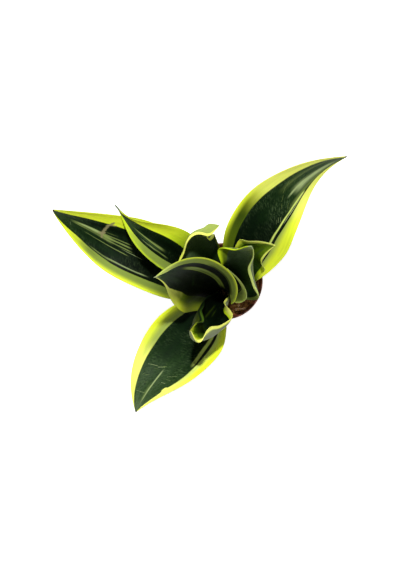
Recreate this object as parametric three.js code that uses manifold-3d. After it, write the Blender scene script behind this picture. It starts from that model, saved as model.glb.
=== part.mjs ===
// Snake plant with dark, yellow-edged leaves in a thin round nursery pot.
// Millimetres, +Z up. The origin is the middle of the pot's flat base.
// The view from above has +X to the right and +Y to the top.

import * as THREE from 'three';
import { mergeVertices } from 'three/addons/utils/BufferGeometryUtils.js';
import Module from 'manifold-3d';

const wasm = await Module();
wasm.setup();

// Clearance between pieces that touch.
const GAP = 0.3;
// Clearance round a leaf's foot, wider because its folds bring the faces closer.
const SOCKET = 0.5;

// Pot: a tapered cup with a straight band round its rim.
const POT_HEIGHT = 80;
const RIM_RADIUS = 44.5;
const RIM_BAND = 8;
const SHOULDER_RADIUS = 42.6;
const BASE_RADIUS = 31;
const WALL = 1.3;
const FLOOR = 1.6;
const DRAIN_COUNT = 8;
const DRAIN_RADIUS = 3.5;
const DRAIN_CIRCLE = 23;
const POT_SIDES = 56;

// Soil: fills the pot to 10 mm below its rim, a little lower at the wall.
const SOIL_TOP = 70;
const SOIL_DIP = 1.5;

// Crown: the point on the soil that the leaves stand round, and how deep their feet reach.
const CROWN_X = -2;
const CROWN_Y = -12;
const FOOT = 6;

// Rhizome: the short thick stem in the soil that carries the leaves.
const RHIZOME_Y = -7;
const RHIZOME_RADIUS = 26;
const RHIZOME_HEIGHT = 15;

// Blade thickness at the midrib and at the margins.
const MIDRIB_THICK = 3;
const MARGIN_THICK = 1;
const TIP_THICK = 0.8;

// Leaves, inner to outer. Each stands in its own upright plane, turned to its heading.
// heading: degrees anticlockwise from +X.
// midrib: the four control points of a cubic curve, as out, left and up from the crown.
// half: widths left and right of the midrib at the widest place, along the curved blade.
// widest: where that is along the leaf. full: how late it narrows to the tip.
// point: how long and thin the tip is drawn out.
// neck: the width of the foot, as a share of the full width.
// left, right: degrees that each half curls up, at even steps from foot to tip.
// twist: degrees that the blade turns about its midrib, at the same steps.
// waves: bends of one half near its margin, as side, place, span and lift.
const LEAVES = {
  leaf_wavy: {
    heading: 223.1,
    midrib: [[3.5, 0, -6], [10.7, 9.7, 50], [61, 12.2, 98.2], [52.6, 3.3, 150.2]],
    half: [36.8, 28],
    widest: 0.7,
    full: 2.27,
    point: 1.05,
    neck: 0.35,
    left: [109, 136, 129, 108, 90],
    right: [130, 101, 76, 63, 52],
    twist: [0, 16, 13, -21, -53],
    waves: [
      ['left', 0.94, 0.04, -9.4],
      ['left', 0.81, 0.14, 19.2],
      ['left', 0.57, 0.06, -6],
      ['left', 0.39, 0.08, 3.7],
      ['right', 0.87, 0.04, 7.4],
    ],
    rows: 32,
    columns: 12,
  },
  leaf_cup: {
    heading: 156.8,
    midrib: [[7.5, 0, -6], [4, 3.1, 50], [43.4, -11.6, 118.5], [70.7, 14.4, 184.6]],
    half: [42, 42],
    widest: 0.43,
    full: 1.75,
    point: 1.34,
    neck: 0.41,
    left: [122, 100, 64, 11, 10],
    right: [127, 109, 52, 10, 13],
    twist: [0, -54, -39, -15, 17],
    rows: 24,
    columns: 12,
  },
  leaf_sheath: {
    heading: 79.7,
    midrib: [[11, 0, -6], [12.9, 1.3, 40], [11.4, -8.3, 66.3], [24.8, 2.9, 104.9]],
    half: [18.3, 32.1],
    widest: 0.45,
    full: 1.97,
    point: 1.01,
    neck: 0.47,
    left: [55, 57, 44, 32, 22],
    right: [78, 94, 77, 51, 32],
    twist: [0, -12, -2, -3, -7],
    rows: 16,
    columns: 10,
  },
  leaf_broad: {
    heading: 52.9,
    midrib: [[14.5, 0, -6], [16.3, -3.2, 50], [50, 7.4, 97.6], [51.8, 7.6, 150.6]],
    half: [31.8, 34.7],
    widest: 0.42,
    full: 1.6,
    point: 0.97,
    neck: 0.42,
    left: [48, 79, 98, 74, 30],
    right: [46, 62, 73, 65, 39],
    twist: [0, 1, 8, 7, 9],
    waves: [
      ['left', 0.72, 0.07, -14.4],
      ['right', 0.77, 0.11, 5.9],
      ['right', 0.41, 0.11, -9.4],
    ],
    rows: 28,
    columns: 10,
  },
  leaf_southwest: {
    heading: 226.8,
    midrib: [[14.5, 0, -6], [22.5, 10.7, 50], [113.5, -3.7, 100.7], [158, 18.6, 93.6]],
    half: [42, 40.3],
    widest: 0.51,
    full: 1.83,
    point: 0.92,
    neck: 0.34,
    left: [29, 24, 28, 27, 29],
    right: [59, 54, 45, 34, 14],
    twist: [0, -2, 11, 16, 40],
    rows: 22,
    columns: 8,
  },
  leaf_hooded: {
    heading: 114.9,
    midrib: [[18, 0, -6], [16.7, -1, 50], [87.2, 37.3, 114.8], [65.6, -24.1, 108.6]],
    half: [26.8, 29.2],
    widest: 0.61,
    full: 1.99,
    point: 0.92,
    neck: 0.45,
    left: [44, 52, 60, 61, 33],
    right: [39, 35, 34, 45, 69],
    twist: [0, 19, 34, 22, -53],
    waves: [
      ['left', 0.69, 0.05, -13.5],
    ],
    rows: 24,
    columns: 8,
  },
  leaf_behind: {
    heading: 45.9,
    midrib: [[21.5, 0, -6], [26.5, -4, 50], [53.5, 29.9, 87.8], [68.7, -2.9, 140.3]],
    half: [17, 25.6],
    widest: 0.45,
    full: 1.83,
    point: 0.96,
    neck: 0.42,
    left: [32, 39, 44, 45, 39],
    right: [32, 38, 45, 51, 44],
    twist: [0, 8, 10, 3, 6],
    waves: [
      ['left', 0.68, 0.06, -5.7],
      ['right', 0.6, 0.09, -6.8],
    ],
    rows: 24,
    columns: 8,
  },
  leaf_northwest: {
    heading: 144.8,
    midrib: [[21.5, 0, -6], [24.5, -0.6, 50], [77.2, 11.8, 115.6], [146.8, -8.3, 109.8]],
    half: [21.2, 34.1],
    widest: 0.52,
    full: 2.19,
    point: 1.47,
    neck: 0.44,
    left: [37, 53, 64, 56, 52],
    right: [31, 34, 36, 35, 61],
    twist: [0, 12, 14, -12, -80],
    rows: 20,
    columns: 8,
  },
  leaf_northeast: {
    heading: 49.1,
    midrib: [[25, 0, -6], [30.7, -16.1, 50], [124.5, 53.4, 99.7], [186.9, -3.4, 126.1]],
    half: [38.5, 34.7],
    widest: 0.38,
    full: 1.6,
    point: 0.86,
    neck: 0.34,
    left: [32, 21, 4, 12, 30],
    right: [23, 11, 4, 4, 15],
    twist: [0, 18, 8, 33, 55],
    rows: 22,
    columns: 8,
  },
  leaf_west: {
    heading: 155.7,
    midrib: [[25, 0, -6], [28.5, 10.3, 50], [94.4, 2.3, 90.8], [202.2, -4.3, 97.6]],
    half: [34.3, 40.4],
    widest: 0.49,
    full: 2.05,
    point: 0.8,
    neck: 0.4,
    left: [28, 31, 34, 24, 24],
    right: [29, 25, 24, 29, 37],
    twist: [0, 4, 5, -25, -50],
    rows: 22,
    columns: 8,
  },
};

/** Value at t of a smooth curve through evenly spaced stops. */
function through(stops, t) {
  const last = stops.length - 1;
  const place = Math.min(Math.max(t, 0), 1) * last;
  const i = Math.min(Math.floor(place), last - 1);
  const f = place - i;
  const b = stops[i];
  const c = stops[i + 1];
  const a = i > 0 ? stops[i - 1] : 2 * b - c;
  const d = i + 2 <= last ? stops[i + 2] : 2 * c - b;
  const square = (2 * a - 5 * b + 4 * c - d) * f * f;
  const cube = (3 * b - a - 3 * c + d) * f * f * f;
  return 0.5 * (2 * b + (c - a) * f + square + cube);
}

/** Share of the full width at t, from the neck to nothing at the tip. */
function outline(leaf, t) {
  if (t < leaf.widest) {
    const rise = Math.sin((Math.PI / 2) * (t / leaf.widest)) ** 1.6;
    return leaf.neck + (1 - leaf.neck) * rise;
  }
  const x = (t - leaf.widest) / (1 - leaf.widest);
  return (1 - x ** leaf.full) ** leaf.point;
}

/** Section of the leaf at t: its middle, its left direction and its upper normal. */
function section(leaf, curve, t) {
  const middle = curve.getPointAt(t);
  const along = curve.getTangentAt(t);
  const left = new THREE.Vector3(0, 1, 0);
  left.addScaledVector(along, -along.y).normalize();
  const upper = new THREE.Vector3().crossVectors(along, left);
  const turn = THREE.MathUtils.degToRad(through(leaf.twist, t));
  const turned = left.clone().multiplyScalar(Math.cos(turn));
  turned.addScaledVector(upper, Math.sin(turn));
  upper.multiplyScalar(Math.cos(turn)).addScaledVector(left, -Math.sin(turn));
  return { middle, left: turned, upper };
}

/** Point and normal of the blade's middle sheet, v running from -1 right to 1 left. */
function sheet(leaf, curve, t, v, extra) {
  const { middle, left, upper } = section(leaf, curve, t);
  const side = v < 0 ? -1 : 1;
  const half = (side < 0 ? leaf.half[1] : leaf.half[0]) * outline(leaf, t) + extra;
  const stops = side < 0 ? leaf.right : leaf.left;
  const curl = THREE.MathUtils.degToRad(Math.max(through(stops, t), 1));
  const angle = curl * Math.abs(v);
  const point = middle.clone();
  point.addScaledVector(left, (side * half * Math.sin(angle)) / curl);
  point.addScaledVector(upper, (half * (1 - Math.cos(angle))) / curl);
  const normal = upper.clone().multiplyScalar(Math.cos(angle));
  normal.addScaledVector(left, -side * Math.sin(angle));
  for (const [waveSide, place, span, lift] of leaf.waves ?? []) {
    if ((waveSide === 'left') === (side > 0)) {
      const bell = Math.exp(-(((t - place) / span) ** 2));
      point.addScaledVector(normal, lift * bell * v * v);
    }
  }
  return { point, normal };
}

/** Closed blade of one leaf. A grown blade is larger all round, for the hole it stands in. */
function bladeGeometry(leaf, grow = 0) {
  const { rows, columns } = leaf;
  const points = leaf.midrib.map((p) => new THREE.Vector3(...p));
  const curve = new THREE.CubicBezierCurve3(...points);
  const positions = [];
  const middles = [];
  const addPair = ({ point, normal }, thick, level) => {
    for (const face of [0.5, -0.5]) {
      const p = point.clone().addScaledVector(normal, face * thick);
      positions.push(p.x, p.y, level ?? p.z);
    }
    middles.push(point);
    return middles.length - 1;
  };
  const addRow = (t, level) => {
    const slim = 0.55 + 0.45 * Math.min(1, outline(leaf, t) / 0.5);
    const row = [];
    for (let j = 0; j <= columns; j += 1) {
      const v = (2 * j) / columns - 1;
      const thick = MARGIN_THICK + (MIDRIB_THICK - MARGIN_THICK) * (1 - v * v);
      row.push(addPair(sheet(leaf, curve, t, v, grow), thick * slim + 2 * grow, level));
    }
    return row;
  };
  // The foot is cut level. A grown blade goes on a little below it.
  const grid = grow > 0 ? [addRow(0, -FOOT - 1)] : [];
  grid.push(addRow(0, -FOOT));
  for (let i = 1; i < rows; i += 1) {
    grid.push(addRow(i / rows));
  }
  const tip = addPair(sheet(leaf, curve, 1, 0, 0), TIP_THICK + 2 * grow);
  const index = [];
  const top = (k) => 2 * k;
  const under = (k) => 2 * k + 1;
  const bothFaces = (a, b, c) => {
    index.push(top(a), top(b), top(c));
    index.push(under(a), under(c), under(b));
  };
  const wall = (a, b) => {
    index.push(top(a), under(a), under(b));
    index.push(top(a), under(b), top(b));
  };
  for (let i = 0; i < grid.length - 1; i += 1) {
    for (let j = 0; j < columns; j += 1) {
      const a = grid[i][j];
      const b = grid[i + 1][j];
      const c = grid[i + 1][j + 1];
      const d = grid[i][j + 1];
      if (middles[a].distanceTo(middles[c]) <= middles[b].distanceTo(middles[d])) {
        bothFaces(a, b, c);
        bothFaces(a, c, d);
      } else {
        bothFaces(a, b, d);
        bothFaces(b, c, d);
      }
    }
    wall(grid[i][0], grid[i + 1][0]);
    wall(grid[i + 1][columns], grid[i][columns]);
  }
  const end = grid[grid.length - 1];
  for (let j = 0; j < columns; j += 1) {
    bothFaces(end[j], tip, end[j + 1]);
    wall(grid[0][j + 1], grid[0][j]);
  }
  wall(end[0], tip);
  wall(tip, end[columns]);
  const geometry = new THREE.BufferGeometry();
  geometry.setAttribute('position', new THREE.Float32BufferAttribute(positions, 3));
  geometry.setIndex(index);
  geometry.computeVertexNormals();
  return geometry;
}

/** Ring or disc turned from points of radius and height. */
function turned(profile, sides) {
  const points = profile.map(([radius, height]) => new THREE.Vector2(radius, height));
  const geometry = new THREE.LatheGeometry(points, sides);
  geometry.rotateX(Math.PI / 2);
  return geometry;
}

/** Solid of a closed geometry, moved by a matrix. */
function solidOf(geometry, matrix = new THREE.Matrix4()) {
  const bare = geometry.clone().applyMatrix4(matrix);
  bare.deleteAttribute('normal');
  bare.deleteAttribute('uv');
  const merged = mergeVertices(bare, 1e-4);
  const indices = Array.from(merged.index.array);
  const kept = [];
  for (let k = 0; k < indices.length; k += 3) {
    const [a, b, c] = indices.slice(k, k + 3);
    if (a !== b && b !== c && c !== a) {
      kept.push(a, b, c);
    }
  }
  const vertProperties = new Float32Array(merged.attributes.position.array);
  const triVerts = new Uint32Array(kept);
  return new wasm.Manifold(new wasm.Mesh({ numProp: 3, vertProperties, triVerts }));
}

/** Geometry of a solid. */
function geometryOf(solid) {
  const { vertProperties, triVerts } = solid.getMesh();
  const geometry = new THREE.BufferGeometry();
  geometry.setAttribute('position', new THREE.Float32BufferAttribute(vertProperties, 3));
  geometry.setIndex(new THREE.Uint32BufferAttribute(triVerts, 1));
  geometry.computeVertexNormals();
  return geometry;
}

/** Outer radius of the pot's tapered wall at a height. */
function wallRadius(height) {
  const share = height / (POT_HEIGHT - RIM_BAND);
  return BASE_RADIUS + (SHOULDER_RADIUS - BASE_RADIUS) * share;
}

/** Pot with drain holes round its floor. */
function potGeometry() {
  const band = POT_HEIGHT - RIM_BAND;
  const cup = turned([
    [0, 0],
    [BASE_RADIUS - 1, 0],
    [BASE_RADIUS, 1],
    [SHOULDER_RADIUS, band],
    [RIM_RADIUS, band + 0.6],
    [RIM_RADIUS, POT_HEIGHT - 0.5],
    [RIM_RADIUS - 0.5, POT_HEIGHT],
    [RIM_RADIUS - WALL, POT_HEIGHT],
    [RIM_RADIUS - WALL - 0.4, POT_HEIGHT - 0.5],
    [wallRadius(band) - WALL, band - 1],
    [wallRadius(FLOOR) - WALL, FLOOR],
    [0, FLOOR],
  ], POT_SIDES);
  let pot = solidOf(cup);
  for (let k = 0; k < DRAIN_COUNT; k += 1) {
    const angle = (2 * Math.PI * (k + 0.5)) / DRAIN_COUNT;
    const hole = new THREE.CylinderGeometry(DRAIN_RADIUS, DRAIN_RADIUS, 4 * FLOOR, 12);
    hole.rotateX(Math.PI / 2);
    hole.translate(DRAIN_CIRCLE * Math.cos(angle), DRAIN_CIRCLE * Math.sin(angle), FLOOR);
    pot = pot.subtract(solidOf(hole));
  }
  return geometryOf(pot);
}

/** Rhizome as a thick round cushion with a level top, larger all round by grow. */
function rhizomeGeometry(grow = 0) {
  const radius = RHIZOME_RADIUS + grow;
  const low = -RHIZOME_HEIGHT - grow;
  return turned([
    [0, low],
    [radius * 0.55, low + 1],
    [radius * 0.88, low + 5],
    [radius, low * 0.45],
    [radius, -2],
    [radius - 1.5, grow],
    [0, grow],
  ], 28);
}

/** Soil cut out round the rhizome and round each leaf's foot. */
function soilGeometry(rhizome, leaves) {
  const bottom = FLOOR + GAP;
  const edge = SOIL_TOP - SOIL_DIP;
  const plug = turned([
    [0, bottom],
    [wallRadius(bottom) - WALL - GAP, bottom],
    [wallRadius(edge) - WALL - GAP - 0.1, edge],
    [wallRadius(edge) * 0.8, SOIL_TOP - 0.3],
    [wallRadius(edge) * 0.4, SOIL_TOP],
    [0, SOIL_TOP],
  ], POT_SIDES);
  let soil = solidOf(plug).subtract(solidOf(rhizomeGeometry(GAP), rhizome.matrixWorld));
  for (const { mesh, leaf } of leaves) {
    soil = soil.subtract(solidOf(bladeGeometry(leaf, SOCKET), mesh.matrixWorld));
  }
  const bodies = soil.decompose();
  bodies.sort((a, b) => b.volume() - a.volume());
  return geometryOf(bodies[0]);
}

const plastic = new THREE.MeshStandardMaterial({ color: 0x7a3b2a, roughness: 0.55, metalness: 0 });
const earth = new THREE.MeshStandardMaterial({ color: 0x3a2418, roughness: 0.95, metalness: 0 });
const flesh = new THREE.MeshStandardMaterial({ color: 0xb98a4e, roughness: 0.8, metalness: 0 });
const foliage = new THREE.MeshStandardMaterial({ color: 0x35541f, roughness: 0.4, metalness: 0 });

/** Mesh with a name and a material of its own. */
function named(name, geometry, material) {
  const mesh = new THREE.Mesh(geometry, material.clone());
  mesh.name = name;
  return mesh;
}

const plant = new THREE.Group();
plant.add(named('pot', potGeometry(), plastic));

const rhizome = named('rhizome', rhizomeGeometry(), flesh);
rhizome.position.set(CROWN_X, RHIZOME_Y, SOIL_TOP - FOOT - GAP);
plant.add(rhizome);

const rosette = new THREE.Group();
rosette.position.set(CROWN_X, CROWN_Y, SOIL_TOP);
plant.add(rosette);
const leaves = [];
for (const [name, leaf] of Object.entries(LEAVES)) {
  const mesh = named(name, bladeGeometry(leaf), foliage);
  mesh.rotation.z = THREE.MathUtils.degToRad(leaf.heading);
  rosette.add(mesh);
  leaves.push({ mesh, leaf });
}

plant.updateMatrixWorld(true);
plant.add(named('soil', soilGeometry(rhizome, leaves), earth));

export default plant;
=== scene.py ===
import logging
import math
import random
from collections.abc import Callable
from dataclasses import dataclass
from enum import Enum
from typing import Any

import bpy
import numpy as np
from mathutils import Matrix, Vector, noise


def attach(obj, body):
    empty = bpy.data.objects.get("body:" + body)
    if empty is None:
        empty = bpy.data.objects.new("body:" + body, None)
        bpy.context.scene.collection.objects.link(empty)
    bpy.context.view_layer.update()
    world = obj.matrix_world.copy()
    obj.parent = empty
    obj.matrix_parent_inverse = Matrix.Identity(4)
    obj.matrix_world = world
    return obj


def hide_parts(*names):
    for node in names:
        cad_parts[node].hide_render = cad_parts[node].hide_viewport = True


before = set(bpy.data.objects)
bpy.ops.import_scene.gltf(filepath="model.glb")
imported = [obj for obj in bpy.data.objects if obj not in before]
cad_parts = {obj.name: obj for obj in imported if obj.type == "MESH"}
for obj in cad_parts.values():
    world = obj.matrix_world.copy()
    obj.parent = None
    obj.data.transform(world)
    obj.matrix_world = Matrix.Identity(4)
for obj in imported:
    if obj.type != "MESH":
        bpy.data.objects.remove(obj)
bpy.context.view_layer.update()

log = logging.getLogger("snake_plant")

MM = 0.001
SOIL_TOP = 70.0
CROWN = (-2.0, -12.0, SOIL_TOP)
FOOT_LEVEL = 64.0
TINY = 1e-6

Stops = tuple[tuple[float, float], ...]
Shades = tuple[tuple[float, Enum], ...]
Triple = tuple[float, float, float]


# Colours


def linear(red: float, green: float, blue: float) -> tuple[float, float, float, float]:
    """Turn a display colour into the linear one that shaders use.

    Args:
        red: Red from 0 to 255.
        green: Green from 0 to 255.
        blue: Blue from 0 to 255.

    Returns:
        Linear red, green and blue, and full alpha.
    """
    shares = [part / 255 for part in (red, green, blue)]
    steps = [s / 12.92 if s <= 0.04045 else ((s + 0.055) / 1.055) ** 2.4 for s in shares]
    return (steps[0], steps[1], steps[2], 1.0)


class Tone(Enum):
    """Colours of the plant's leaves."""

    DEEP = linear(3, 11, 3)
    DARK = linear(8, 23, 8)
    GREEN = linear(17, 38, 13)
    MOSS = linear(36, 60, 26)
    GREY_GREEN = linear(58, 80, 46)
    ASH = linear(94, 114, 76)
    LEAF_DARK = linear(34, 60, 12)
    LEAF_GREEN = linear(84, 116, 6)
    FRESH = linear(128, 158, 28)
    OLIVE_DARK = linear(56, 74, 12)
    OLIVE = linear(96, 116, 20)
    OLIVE_PALE = linear(126, 144, 62)
    LIME = linear(204, 230, 32)
    YELLOW = linear(238, 252, 58)
    LEMON = linear(250, 255, 120)
    CREAM = linear(206, 222, 112)
    CREAM_DARK = linear(160, 178, 84)
    STRIPE = linear(132, 150, 80)
    PALE = linear(172, 190, 128)
    SCAR = linear(138, 132, 92)
    TIP = linear(168, 178, 124)
    BROWN = linear(74, 66, 34)
    UNDER = linear(96, 112, 74)
    UNDER_PALE = linear(122, 130, 98)


# Shader maths


@dataclass(frozen=True)
class Signal:
    """A number that varies over a surface, with Python's operators."""

    paint: "Paint"
    socket: bpy.types.NodeSocket

    def _maths(self, operation: str, first: Any, second: Any = None) -> "Signal":
        """Add one Math node.

        Args:
            operation: Name of the Math node's operation.
            first: Signal or number for the first socket.
            second: Signal or number for the second socket, if it has one.

        Returns:
            The node's result.
        """
        links = {0: first} if second is None else {0: first, 1: second}
        return self.paint.signal("ShaderNodeMath", {"operation": operation}, links)

    def __add__(self, other: Any) -> "Signal":
        """Sum."""
        return self._maths("ADD", self, other)

    __radd__ = __add__

    def __sub__(self, other: Any) -> "Signal":
        """Difference."""
        return self._maths("SUBTRACT", self, other)

    def __rsub__(self, other: Any) -> "Signal":
        """Difference from a number."""
        return self._maths("SUBTRACT", other, self)

    def __mul__(self, other: Any) -> "Signal":
        """Product."""
        return self._maths("MULTIPLY", self, other)

    __rmul__ = __mul__

    def __truediv__(self, other: Any) -> "Signal":
        """Quotient."""
        return self._maths("DIVIDE", self, other)

    def __pow__(self, other: Any) -> "Signal":
        """Power."""
        return self._maths("POWER", self, other)

    def __abs__(self) -> "Signal":
        """Size without its sign."""
        return self._maths("ABSOLUTE", self)

    def held(self) -> "Signal":
        """Hold the value between 0 and 1."""
        return self.paint.signal("ShaderNodeClamp", {}, {"Value": self})

    def rise(self, low: float, high: float) -> "Signal":
        """Run smoothly from 0 at low to 1 at high.

        Args:
            low: Value where the rise starts.
            high: Value where it is complete.

        Returns:
            The smooth step.
        """
        settings = {"interpolation_type": "SMOOTHSTEP"}
        links = {"Value": self, "From Min": low, "From Max": high}
        return self.paint.signal("ShaderNodeMapRange", settings, links)

    def fall(self, low: float, high: float) -> "Signal":
        """Run smoothly from 1 at low to 0 at high."""
        return 1 - self.rise(low, high)


class Paint:
    """A material under construction, with short ways to add its nodes."""

    def __init__(self, name: str) -> None:
        """Start an empty material.

        Args:
            name: Name of the material.
        """
        self.material = bpy.data.materials.new(name)
        self.material.use_nodes = True
        self.tree = self.material.node_tree
        self.tree.nodes.clear()

    def node(self, kind: str, settings: dict[str, Any], links: dict[Any, Any]) -> bpy.types.Node:
        """Add a node.

        Args:
            kind: Type of the node.
            settings: Its settings, set first. "stops" fills a ramp and "points" a curve.
            links: Values or sources of its input sockets, by name or number.

        Returns:
            The new node.
        """
        made = self.tree.nodes.new(kind)
        for key, value in settings.items():
            if key == "stops":
                self._fill_ramp(made.color_ramp, value)
            elif key == "points":
                self._fill_curve(made.mapping, value)
            else:
                setattr(made, key, value)
        for key, value in links.items():
            if isinstance(value, Signal):
                value = value.socket
            if isinstance(value, bpy.types.NodeSocket):
                self.tree.links.new(value, made.inputs[key])
            else:
                made.inputs[key].default_value = value.value if isinstance(value, Enum) else value
        return made

    def _fill_ramp(self, ramp: bpy.types.ColorRamp, stops: Shades) -> None:
        """Give a ramp its stops.

        Args:
            ramp: The ramp.
            stops: A place and a tone for each stop.
        """
        while len(ramp.elements) < len(stops):
            ramp.elements.new(0.5)
        for element, (place, tone) in zip(ramp.elements, stops):
            element.position = place
            element.color = tone.value

    def _fill_curve(self, mapping: bpy.types.CurveMapping, points: Stops) -> None:
        """Give a curve its points.

        Args:
            mapping: The curve.
            points: A place and a height for each point, both from 0 to 1.
        """
        mapping.extend = "HORIZONTAL"
        curve = mapping.curves[0]
        while len(curve.points) < len(points):
            curve.points.new(0.5, 0.5)
        for point, (x, y) in zip(curve.points, points):
            point.location = (x, y)
            point.handle_type = "AUTO_CLAMPED"
        mapping.update()

    def signal(self, kind: str, settings: dict[str, Any], links: dict[Any, Any], out: Any = 0) -> Signal:
        """Add a node and take one of its outputs as a signal."""
        return Signal(self, self.node(kind, settings, links).outputs[out])

    def ramp(self, amount: Signal, stops: Shades) -> bpy.types.NodeSocket:
        """Turn a number into a colour by a ramp of tones."""
        return self.node("ShaderNodeValToRGB", {"stops": stops}, {0: amount}).outputs[0]

    def attribute(self, name: str) -> Signal:
        """Read one of the mesh's own numbers."""
        return self.signal("ShaderNodeAttribute", {"attribute_name": name}, {}, "Fac")

    def place(self) -> bpy.types.NodeSocket:
        """Give the place on the object, in its own coordinates."""
        return self.node("ShaderNodeTexCoord", {}, {}).outputs["Object"]

    def mapped(self, vector: bpy.types.NodeSocket, change: str, by: Triple) -> bpy.types.NodeSocket:
        """Change a vector's "Location", "Rotation" or "Scale"."""
        return self.node("ShaderNodeMapping", {}, {"Vector": vector, change: by}).outputs["Vector"]

    def grain(self, vector: Any, scale: Triple, detail: float = 2, warp: float = 0) -> Signal:
        """Add soft noise whose features differ in number along each axis."""
        return self.cloud(self.mapped(vector, "Scale", scale), 1, detail, warp)

    def cloud(self, vector: Any, scale: float, detail: float = 2, warp: float = 0) -> Signal:
        """Add soft noise.

        Args:
            vector: Where the noise is read.
            scale: How many features there are in a unit of the vector.
            detail: How many finer layers it has.
            warp: How far it is distorted.

        Returns:
            The noise, mostly from 0.3 to 0.7.
        """
        links = {"Vector": vector, "Scale": scale, "Detail": detail, "Distortion": warp}
        return self.signal("ShaderNodeTexNoise", {}, links, "Fac")

    def track(self, along: Signal, points: Stops) -> Signal:
        """Follow a line over the blade.

        Args:
            along: Place along the blade, from 0 to 1.
            points: Places along and across, the latter from -1 to 1.

        Returns:
            The line's place across at each place along.
        """
        raised = tuple((t, (v + 1) / 2) for t, v in points)
        return self.signal("ShaderNodeFloatCurve", {"points": raised}, {"Value": along}) * 2 - 1

    def blend(self, amount: Any, base: Any, top: Any, way: str = "MIX") -> bpy.types.NodeSocket:
        """Lay one colour over another.

        Args:
            amount: Share of the top colour.
            base: Colour below.
            top: Colour above.
            way: How they combine.

        Returns:
            The colour that results.
        """
        settings = {"data_type": "RGBA", "blend_type": way}
        return self.node("ShaderNodeMix", settings, {0: amount, 6: base, 7: top}).outputs[2]

    def grey(self, amount: Signal) -> bpy.types.NodeSocket:
        """Make a grey of a number."""
        return self.node("ShaderNodeCombineColor", {}, {0: amount, 1: amount, 2: amount}).outputs[0]

    def bumps(
        self, height: Signal, depth: float, under: bpy.types.NodeSocket | None = None,
    ) -> bpy.types.NodeSocket:
        """Raise the surface by a height.

        Args:
            height: Height from 0 to 1.
            depth: Metres at a height of 1.
            under: Normal that this one builds on.

        Returns:
            The new normal.
        """
        links: dict[Any, Any] = {"Height": height, "Strength": 1.0, "Distance": depth}
        if under is not None:
            links["Normal"] = under
        return self.node("ShaderNodeBump", {}, links).outputs["Normal"]

    def finish(self, links: dict[str, Any]) -> bpy.types.Material:
        """Close the material with its surface shader.

        Args:
            links: Values and sources of the shader's sockets.

        Returns:
            The material.
        """
        shader = self.node("ShaderNodeBsdfPrincipled", {}, links)
        self.node("ShaderNodeOutputMaterial", {}, {"Surface": shader.outputs[0]})
        return self.material


# Mesh work


def only(*things: bpy.types.Object) -> None:
    """Select some objects and nothing else, and make the first the active one."""
    bpy.ops.object.select_all(action="DESELECT")
    for thing in things:
        thing.select_set(True)
    bpy.context.view_layer.objects.active = things[0]


def primitive(add: Callable[..., Any], name: str, **settings: Any) -> bpy.types.Object:
    """Add a primitive with nothing else selected.

    Args:
        add: Operator that adds it.
        name: Name of the new object and of its mesh.
        settings: The operator's own settings.

    Returns:
        The new object.
    """
    bpy.ops.object.select_all(action="DESELECT")
    add(**settings)
    thing = bpy.context.active_object
    thing.name = name
    thing.data.name = name
    return thing


def joined(things: list[bpy.types.Object]) -> bpy.types.Object:
    """Join objects into the first of them."""
    only(*things)
    bpy.ops.object.join()
    return bpy.context.active_object


def pick_rims() -> None:
    """In edit mode, select the open edges and nothing else."""
    bpy.ops.mesh.select_all(action="DESELECT")
    bpy.ops.mesh.select_non_manifold(extend=False)


def open_sheet(thing: bpy.types.Object) -> None:
    """Go to edit mode, merge a sheet's seams and poles, and select its open edges."""
    only(thing)
    bpy.ops.object.mode_set(mode="EDIT")
    bpy.ops.mesh.select_all(action="SELECT")
    bpy.ops.mesh.remove_doubles(threshold=TINY)
    pick_rims()


def close_rim() -> None:
    """Fill the selected rim, turn every face outwards and leave edit mode."""
    bpy.ops.mesh.edge_face_add()
    bpy.ops.mesh.select_all(action="SELECT")
    bpy.ops.mesh.normals_make_consistent(inside=False)
    bpy.ops.object.mode_set(mode="OBJECT")


def smooth(degrees: float) -> None:
    """Shade the selected object smooth, apart from edges sharper than an angle."""
    bpy.ops.object.shade_smooth_by_angle(angle=math.radians(degrees))


def coordinates(mesh: bpy.types.Mesh) -> np.ndarray:
    """Read a mesh's vertices as rows of three.

    Args:
        mesh: The mesh.

    Returns:
        Places of its vertices.
    """
    flat = np.empty(len(mesh.vertices) * 3)
    mesh.vertices.foreach_get("co", flat)
    return flat.reshape(-1, 3)


def move_to(mesh: bpy.types.Mesh, points: np.ndarray) -> None:
    """Put a mesh's vertices at new places."""
    mesh.vertices.foreach_set("co", np.ascontiguousarray(points, float).ravel())
    mesh.update()


def give_numbers(mesh: bpy.types.Mesh, name: str, values: np.ndarray) -> None:
    """Store a number at each vertex."""
    layer = mesh.attributes.new(name, "FLOAT", "POINT")
    layer.data.foreach_set("value", np.asarray(values, float).ravel())


def give_map(mesh: bpy.types.Mesh, name: str, pairs: np.ndarray) -> None:
    """Store a flat place at each vertex as the mesh's only UV map.

    Args:
        mesh: The mesh.
        name: Name of the map.
        pairs: Flat place of each vertex.
    """
    while mesh.uv_layers:
        mesh.uv_layers.remove(mesh.uv_layers[0])
    layer = mesh.uv_layers.new(name=name)
    corners = np.empty(len(mesh.loops), int)
    mesh.loops.foreach_get("vertex_index", corners)
    layer.data.foreach_set("uv", pairs[corners].ravel())


def wear(thing: bpy.types.Object, material: bpy.types.Material) -> None:
    """Give an object one material."""
    thing.data.materials.clear()
    thing.data.materials.append(material)


def rank(thing: bpy.types.Object, slot: str, *nodes: str) -> None:
    """Fix a finished piece to the plant.

    Args:
        thing: The piece.
        slot: Not used.
        nodes: CAD nodes that it stands for.
    """
    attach(thing, "root")
    if nodes:
        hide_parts(*nodes)
    log.info("%s: %d faces", thing.name, len(thing.data.polygons))


# Leaf shapes


class Side(Enum):
    """Half of a blade, seen from its foot with its upper face up."""

    LEFT = 1
    RIGHT = -1


@dataclass(frozen=True)
class Wave:
    """A bend of one half of a blade near its margin."""

    side: Side
    place: float
    span: float
    lift: float


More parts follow.
